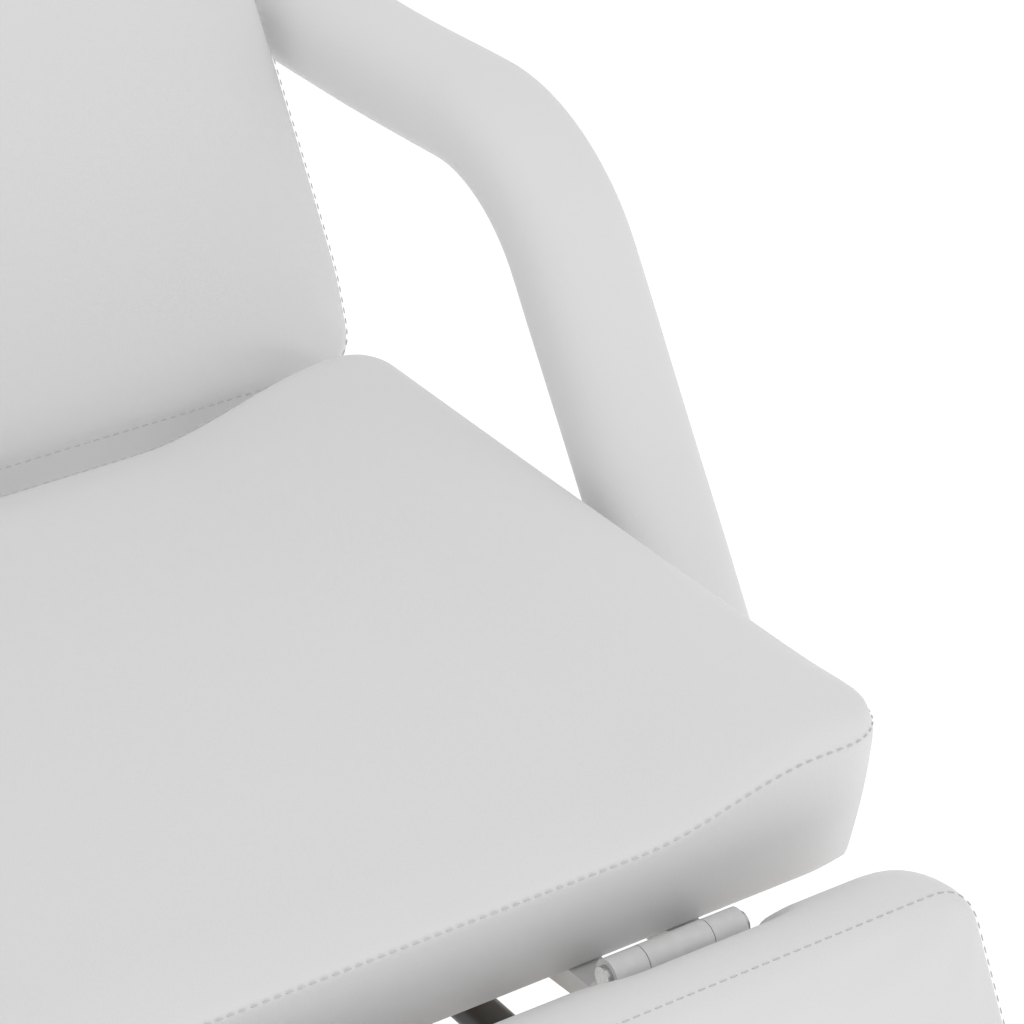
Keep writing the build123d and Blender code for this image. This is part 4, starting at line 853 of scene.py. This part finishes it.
    def stuff(self, piece: bpy.types.Object) -> None:
        """Lets the filling push the cover out a little, held at the seam and below.

        Args:
            piece: The cushion's object, changed in place.
        """
        rest = [v.co.copy() for v in piece.data.vertices]
        held = set(self.rim) | set(range(min(self.bottom), len(rest)))
        group = piece.vertex_groups.new(name="held")
        group.add(sorted(held), 1.0, "REPLACE")
        cloth = piece.modifiers.new("stuffing", "CLOTH")
        cloth.settings.quality = 5
        cloth.settings.mass = 0.3
        cloth.settings.tension_stiffness = 40.0
        cloth.settings.compression_stiffness = 40.0
        cloth.settings.shear_stiffness = 20.0
        cloth.settings.bending_stiffness = 2.0
        cloth.settings.use_pressure = True
        cloth.settings.uniform_pressure_force = 4.0
        cloth.settings.vertex_group_mass = "held"
        cloth.settings.effector_weights.gravity = 0.0
        cloth.collision_settings.use_collision = False
        cloth.collision_settings.use_self_collision = False
        cloth.point_cache.frame_start = 1
        cloth.point_cache.frame_end = 20
        scene = bpy.context.scene
        for step in range(1, 21):
            scene.frame_set(step)
        graph = bpy.context.evaluated_depsgraph_get()
        blown = piece.evaluated_get(graph).to_mesh()
        moved = [v.co.copy() for v in blown.vertices]
        piece.evaluated_get(graph).to_mesh_clear()
        piece.modifiers.remove(cloth)
        scene.frame_set(1)
        for vertex, start, end in zip(piece.data.vertices, rest, moved):
            shift = end - start
            if shift.length > 1e-9:
                vertex.co = start + shift * (self.swell * math.tanh(shift.length / self.swell) / shift.length)
        piece.data.update()

    def refine(self, piece: bpy.types.Object) -> bpy.types.Object:
        """Adds one level of subdivision, makes the result plain and closes the floor inside."""
        smooth = piece.modifiers.new("refine", "SUBSURF")
        smooth.levels = 1
        smooth.render_levels = 1
        plain = made_plain(piece, self.name)
        work = bmesh.new()
        work.from_mesh(plain.data)
        bmesh.ops.holes_fill(work, edges=[edge for edge in work.edges if edge.is_boundary], sides=0)
        bmesh.ops.recalc_face_normals(work, faces=work.faces)
        work.to_mesh(plain.data)
        work.free()
        return plain

    def make(self, finisher: Finisher, rows: Rows) -> bpy.types.Object:
        """Builds, stuffs, sews and dresses the cushion.

        Args:
            finisher: Where the materials come from.
            rows: What lays stitches and staples.

        Returns:
            The finished cushion.
        """
        piece = self.build()
        self.stuff(piece)
        piece = self.refine(piece)
        piece.data.polygons.foreach_set("use_smooth", [True] * len(piece.data.polygons))
        finisher.dress(piece, Slot.LEATHERETTE)
        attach(piece, self.body)
        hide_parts(self.node)
        rows.lay(self.name + "_stitches", [self.seam_line], Slot.THREAD, STITCH_PITCH, self.body)
        staples = self.wrap_line()
        rows.lay(self.name + "_staples", [staples], Slot.STAPLE, STAPLE_PITCH, self.body)
        log.info("%s: %d faces", self.name, len(piece.data.polygons))
        return piece

    def wrap_line(self) -> list[Vector]:
        """The line along which the cover is stapled to the board, just below its underside."""
        half_long, middle = self.half_long, self.middle
        line = []
        for k in self.bottom:
            p = self.local[k]
            inward = self.wrap - 0.006
            x = p.x * (1.0 - inward / self.half_width(p.y))
            u = middle + (p.y - middle) * (1.0 - inward / half_long)
            line.append(self.section.place(x, u, self.under - 0.0014))
        return line


@dataclass
class LegCushion(Cushion):
    """The leg rest's cushion, with gaps in its upper wall for the hinges.

    Attributes:
        stand_out: How far the upper wall rounds out past the seam.
        crest: Height of the seam at that wall.
        hinge_places: Middles of the gaps, across.
        gap_width: Width of each gap.
        gap_depth: How far each gap goes in along the section.
        gap_top: Height of the gaps' top along w.
    """

    stand_out: float = 0.0095
    crest: float = 0.069
    hinge_places: tuple[float, ...] = (-0.150, 0.150)
    gap_width: float = 0.094
    gap_depth: float = 0.020
    gap_top: float = 0.014

    def shape_walls(self, points: list[Vector]) -> None:
        """Rounds the upper wall out over the hinges, then presses it in over each one."""
        for p in points:
            if p.y > self.high_end - 0.030 and p.z < self.crest:
                t = (self.crest - p.z) / (self.crest - self.under)
                share = smooth_step(self.high_end - 0.030, self.high_end - 0.006, p.y)
                p.y += self.stand_out * share * math.sin(math.pi * t ** 0.85)
        for p in points:
            for middle in self.hinge_places:
                side = smooth_step(self.gap_width / 2 + 0.008, self.gap_width / 2 - 0.002, abs(p.x - middle))
                near = p.y > self.high_end - 0.030
                if near and side > 0 and p.z < self.gap_top + 0.010:
                    depth = side * smooth_step(self.gap_top + 0.010, self.gap_top, p.z)
                    edge = self.high_end - self.gap_depth
                    p.y = p.y + (min(p.y, edge) - p.y) * depth


@dataclass
class ArmPad:
    """A bent armrest pad, swept along the steel core inside it.

    Attributes:
        word: left or right.
        corner_radius: Radius of the bend.
        corner_y: Where the two straight lengths would meet.
        lean: The front leg's angle from upright.
        size: Width and height of the padding.
        fullness: 2 for an oval section, more for a squarer one.
        back_drop: How far the top sinks towards its back end.
        sides: Points around the section.
        seam_side: The point among them at the seam below.
        seam_dip: How deep the seam draws in.
    """

    word: str
    corner_radius: float = 0.115
    corner_y: float = 0.137
    lean: float = math.radians(31.7)
    size: tuple[float, float] = (0.068, 0.058)
    fullness: float = 2.5
    back_drop: float = 0.004
    sides: int = 36
    seam_side: int = 27
    seam_dip: float = 0.0016

    def centre_line(self, low: Vector, high: Vector) -> list[Vector]:
        """Points along the pad's middle, from its back end to the bottom of its front leg.

        Args:
            low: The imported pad's lowest corner.
            high: Its highest corner.

        Returns:
            Points in the row frame, about 8 mm apart.
        """
        x = (low.x + high.x) / 2
        top = high.z - self.size[1] / 2
        back = high.y
        foot = low.z
        down = Vector((0.0, -math.sin(self.lean), -math.cos(self.lean)))
        turn = math.pi / 2 - self.lean
        tangent = self.corner_radius * math.tan(turn / 2)
        start = Vector((x, back, top))
        bend_start = Vector((x, self.corner_y + tangent, top))
        pivot = Vector((x, self.corner_y + tangent, top - self.corner_radius))
        line = [start.lerp(bend_start, i / 22) for i in range(22)]
        for i in range(24):
            a = turn * i / 24
            line.append(pivot + Vector((0.0, -math.sin(a), math.cos(a))) * self.corner_radius)
        bend_end = pivot + Vector((0.0, -math.sin(turn), math.cos(turn))) * self.corner_radius
        length = (bend_end.z - foot) / math.cos(self.lean)
        line.extend(bend_end + down * (length * i / 28) for i in range(29))
        for p in line:
            p.z -= self.back_drop * smooth_step(self.corner_y + 0.03, self.corner_y + 0.17, p.y)
        return line

    def outline(self, scale: float) -> list[tuple[float, float]]:
        """The padding's section: a rounded rectangle, slightly crowned, as across and outward pairs."""
        half_w, half_h = self.size[0] / 2, self.size[1] / 2
        pairs = []
        power = 2.0 / self.fullness
        for i in range(self.sides):
            a = 2 * math.pi * i / self.sides
            c, s = math.cos(a), math.sin(a)
            x = half_w * math.copysign(abs(c) ** power, c)
            z = half_h * math.copysign(abs(s) ** power, s)
            pairs.append((x * scale, z * scale))
        return pairs

    def make(self, finisher: Finisher, rows: Rows) -> bpy.types.Object:
        """Builds and dresses the pad with its underside seam.

        Args:
            finisher: Where the materials come from.
            rows: What lays the stitches.

        Returns:
            The finished pad.
        """
        node, body = f"armrest_pad_{self.word}", f"armrest_{self.word}"
        low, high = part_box(node)
        line = self.centre_line(low, high)
        points: list[Vector] = []
        faces: list[list[int]] = []
        rings: list[list[int]] = []
        seam: list[Vector] = []
        run = [0.0]
        for before, after in zip(line, line[1:]):
            run.append(run[-1] + (after - before).length)
        total = run[-1]
        for k, centre in enumerate(line):
            ahead = line[min(k + 1, len(line) - 1)] - line[max(k - 1, 0)]
            ahead.normalize()
            across = Vector((1.0, 0.0, 0.0))
            outward = ahead.cross(across)
            if outward.z < 0:
                outward = -outward
            if k == len(line) - 1:
                outward = (Vector((0.0, -1.0, 0.0)) * math.cos(self.lean)
                           + Vector((0.0, 0.0, 1.0)) * math.sin(self.lean))
            end_gap = min(run[k], total - run[k])
            rounded = 0.018 if run[k] < total / 2 else 0.006
            scale = 1.0 - (rounded / (self.size[1] / 2)) * (1.0 - quarter_round(end_gap, rounded))
            ripple = 1.0 + 0.006 * math.sin(run[k] * 31.0) * math.sin(run[k] * 11.0 + 1.3)
            ring = []
            for i, (x, z) in enumerate(self.outline(scale * ripple)):
                dip = self.seam_dip if i == self.seam_side else 0.0
                ring.append(len(points))
                points.append(centre + across * x + outward * (z + dip))
            rings.append(ring)
            seam.append(points[ring[self.seam_side]] - outward * 0.0002)
        for upper, lower in zip(rings, rings[1:]):
            Cushion.join(faces, upper, lower)
        for ring in (rings[0], rings[-1]):
            centre = sum((points[k] for k in ring), Vector()) / len(ring)
            previous = ring
            for share in (0.7, 0.35):
                fresh = []
                for k in ring:
                    fresh.append(len(points))
                    points.append(centre + (points[k] - centre) * share)
                Cushion.join(faces, previous, fresh)
                previous = fresh
            faces.append(previous)
        piece = mesh_object(f"arm_upholstery_{self.word}", points, faces)
        smooth = piece.modifiers.new("refine", "SUBSURF")
        smooth.levels = smooth.render_levels = 1
        piece = made_plain(piece, f"arm_upholstery_{self.word}")
        piece.data.polygons.foreach_set("use_smooth", [True] * len(piece.data.polygons))
        finisher.dress(piece, Slot.LEATHERETTE)
        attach(piece, body)
        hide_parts(node)
        rows.lay(f"arm_stitches_{self.word}", [seam[3:-1]], Slot.THREAD, STITCH_PITCH, body,
                  closed=False)
        log.info("arm_upholstery_%s: %d faces", self.word, len(piece.data.polygons))
        return piece


class Upholstery:
    """The four cushions and the two arm pads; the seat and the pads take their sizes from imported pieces."""

    def __init__(self, finisher: Finisher, rows: Rows) -> None:
        """Keeps the makers.

        Args:
            finisher: Where the materials come from.
            rows: What lays stitches and staples.
        """
        self.finisher = finisher
        self.rows = rows

    def seat(self) -> Cushion:
        """The dished seat with a raised bolster down each side."""
        low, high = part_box("seat_cushion")
        half_x = (high.x - low.x) / 2
        half_y = (high.y - low.y) / 2
        middle = Hinged(Vector((0.0, (low.y + high.y) / 2, low.z)), 0.0)
        seam_height = 0.070

        def seam(x: float, u: float) -> float:
            """The seam climbs onto the bolsters."""
            return seam_height + 0.0175 * smooth_step(0.135, 0.240, abs(x))

        def crown(x: float, u: float) -> float:
            """Flat in the dish, up to the bolsters' crests, down again towards the sides."""
            rise = smooth_step(0.145, 0.262, abs(x))
            front = 0.002 * smooth_step(-half_y + 0.09, -half_y + 0.02, u)
            return seam_height + 0.0045 + 0.0255 * rise + front

        return Cushion("seat_upholstery", "seat_cushion", "seat", middle, low_end=-half_y, high_end=half_y,
                       half_width=lambda u: half_x - 0.001, corner=(0.030, 0.030), under=0.0, seam=seam,
                       crown=crown, roll=0.017, end_lean=(0.024, 0.024), side_lean=0.004, bulge=0.0012,
                       fill=0.85, swell=0.0028, cells=(64, 50), square_off=0.6)

    def back(self) -> Cushion:
        """The tall backrest, widest a little above the seat."""
        pivot = Hinged(Vector(BACK_PIVOT), BACK_ANGLE)

        def half_width(u: float) -> float:
            """Half the width along the backrest."""
            low = 0.2915 + 0.004 * smooth_step(0.050, 0.115, u)
            return low - 0.034 * max(0.0, (u - 0.115) / 0.585) ** 1.15

        def seam(x: float, u: float) -> float:
            """The seam runs close under the face."""
            return 0.0865

        def crown(x: float, u: float) -> float:
            """A gently crowned face."""
            return 0.0935 + 0.0025 * math.cos(min(abs(x) / 0.285, 1.0) * math.pi / 2)

        return Cushion("backrest_upholstery", "backrest_cushion", "backrest", pivot, low_end=0.0585,
                       high_end=0.699, half_width=half_width, corner=(0.020, 0.070), under=0.018, seam=seam,
                       crown=crown, roll=0.018, end_lean=(-0.053, 0.004), side_lean=0.003, bulge=0.001,
                       fill=0.8, swell=0.0025, cells=(60, 66))

    def leg(self) -> Cushion:
        """The leg rest, hinged below the seat's front edge."""
        pivot = Hinged(Vector(LEG_PIVOT), LEG_ANGLE)
        half = 0.279

        def crown(x: float, u: float) -> float:
            """A flat face that crowns slightly towards its middle."""
            return 0.0785 + 0.002 * math.cos(min(abs(x) / half, 1.0) * math.pi / 2)

        return LegCushion("legrest_upholstery", "legrest_cushion", "legrest", pivot, low_end=-0.460,
                          high_end=-0.004, half_width=lambda u: half - 0.0005, corner=(0.034, 0.020),
                          under=-0.013, seam=lambda x, u: 0.070, crown=crown, roll=0.012,
                          end_lean=(0.006, 0.002), side_lean=0.004, bulge=0.001, fill=0.8, swell=0.0025,
                          cells=(60, 48))

    def head(self) -> Cushion:
        """The small headrest above the backrest."""
        pivot = Hinged(Vector(BACK_PIVOT), BACK_ANGLE)

        def crown(x: float, u: float) -> float:
            """Lower in its middle, where a head rests."""
            hollow = math.exp(-((x / 0.075) ** 2)) * math.exp(-(((u - 0.815) / 0.07) ** 2))
            return 0.0825 - 0.008 * hollow

        return Cushion("headrest_upholstery", "headrest_cushion", "headrest", pivot, low_end=0.730,
                       high_end=0.910, half_width=lambda u: 0.1495, corner=(0.055, 0.055), under=0.018,
                       seam=lambda x, u: 0.050, crown=crown, roll=0.030, end_lean=(0.004, 0.006),
                       side_lean=0.004, bulge=0.002, fill=0.8, swell=0.003, cells=(36, 22))

    def make(self) -> None:
        """Makes every upholstered piece."""
        for cushion in (self.seat(), self.back(), self.leg(), self.head()):
            cushion.make(self.finisher, self.rows)
        for word in ("left", "right"):
            ArmPad(word).make(self.finisher, self.rows)


# ------------------------------------------------------------------ studio
@dataclass
class Studio:
    """Pale floor, even white surroundings, and soft lamps overhead and low in front.

    Attributes:
        surround: Strength of the white surroundings.
        lamp_power: Power of the overhead lamp in watts.
        fill_power: Power of the low lamp in front, in watts.
        floor_glow: How much light the floor gives by itself.
        eye: Where the camera stands.
        target: Where it looks.
        lens: Focal length in millimetres on a 36 mm sensor.
    """

    surround: float = 0.84
    lamp_power: float = 6.0
    fill_power: float = 1.5
    floor_glow: float = 1.0
    eye: Vector = field(default_factory=lambda: Vector((-0.8459, -1.5799, 1.7191)))
    target: Vector = field(default_factory=lambda: Vector((0.2174, -0.010, 0.653)))
    lens: float = 147.75

    def camera(self) -> None:
        """Makes the camera and hands it to the scene."""
        data = bpy.data.cameras.new("camera")
        data.lens = self.lens
        data.sensor_width = 36.0
        data.clip_start = 0.05
        data.clip_end = 100.0
        view = bpy.data.objects.new("camera", data)
        view.location = self.eye
        view.rotation_mode = "QUATERNION"
        view.rotation_quaternion = (self.target - self.eye).to_track_quat("-Z", "Y")
        bpy.context.scene.collection.objects.link(view)
        bpy.context.scene.camera = view

    def surroundings(self) -> None:
        """Lights the scene evenly from every side."""
        world = bpy.data.worlds.new("white_room")
        world.use_nodes = True
        light = world.node_tree.nodes["Background"]
        light.inputs["Color"].default_value = (1.0, 1.0, 1.0, 1.0)
        light.inputs["Strength"].default_value = self.surround
        bpy.context.scene.world = world

    def lamp(self, name: str, place: Vector, aim: Vector, size: tuple[float, float], power: float) -> None:
        """Hangs one broad soft lamp.

        Args:
            name: The lamp's name.
            place: Where it hangs.
            aim: The point that it faces.
            size: Its width and height in metres.
            power: Its power in watts.
        """
        data = bpy.data.lights.new(name, "AREA")
        data.shape = "RECTANGLE"
        data.size, data.size_y = size
        data.energy = power
        lamp = bpy.data.objects.new(name, data)
        lamp.location = place
        lamp.rotation_mode = "QUATERNION"
        lamp.rotation_quaternion = (aim - place).to_track_quat("-Z", "Y")
        bpy.context.scene.collection.objects.link(lamp)

    def floor(self) -> None:
        """Lays a wide pale floor at the level of the base."""
        half = 9.0
        mesh = bpy.data.meshes.new("studio_floor")
        mesh.from_pydata([(-half, -half, 0.0), (half, -half, 0.0), (half, half, 0.0), (-half, half, 0.0)], [],
                         [(0, 1, 2, 3)])
        floor = bpy.data.objects.new("studio_floor", mesh)
        bpy.context.scene.collection.objects.link(floor)
        material = bpy.data.materials.new("pale_floor")
        material.use_nodes = True
        surface = material.node_tree.nodes["Principled BSDF"]
        surface.inputs["Base Color"].default_value = (0.14, 0.14, 0.14, 1.0)
        surface.inputs["Specular IOR Level"].default_value = 0.0
        surface.inputs["Roughness"].default_value = 0.8
        surface.inputs["Emission Color"].default_value = (1.0, 1.0, 1.0, 1.0)
        surface.inputs["Emission Strength"].default_value = self.floor_glow
        mesh.materials.append(material)

    def make(self) -> None:
        """Makes the whole studio."""
        bpy.context.scene.view_settings.view_transform = "Standard"
        self.camera()
        self.surroundings()
        self.lamp("overhead", Vector((-0.3, -0.5, 3.3)), Vector((0.0, 0.1, 0.6)), (3.2, 2.4), self.lamp_power)
        self.lamp("low_front", Vector((-0.7, -2.2, 0.35)), Vector((0.1, -0.24, 0.56)), (1.8, 0.6),
                  self.fill_power)
        self.floor()


def main() -> None:
    """Builds every class in order."""
    logging.basicConfig(level=logging.INFO)
    finisher = Finisher()
    finisher.dress_frame()
    rows = Rows(finisher)
    Upholstery(finisher, rows).make()
    Studio().make()


if __name__ == "__main__":
    main()
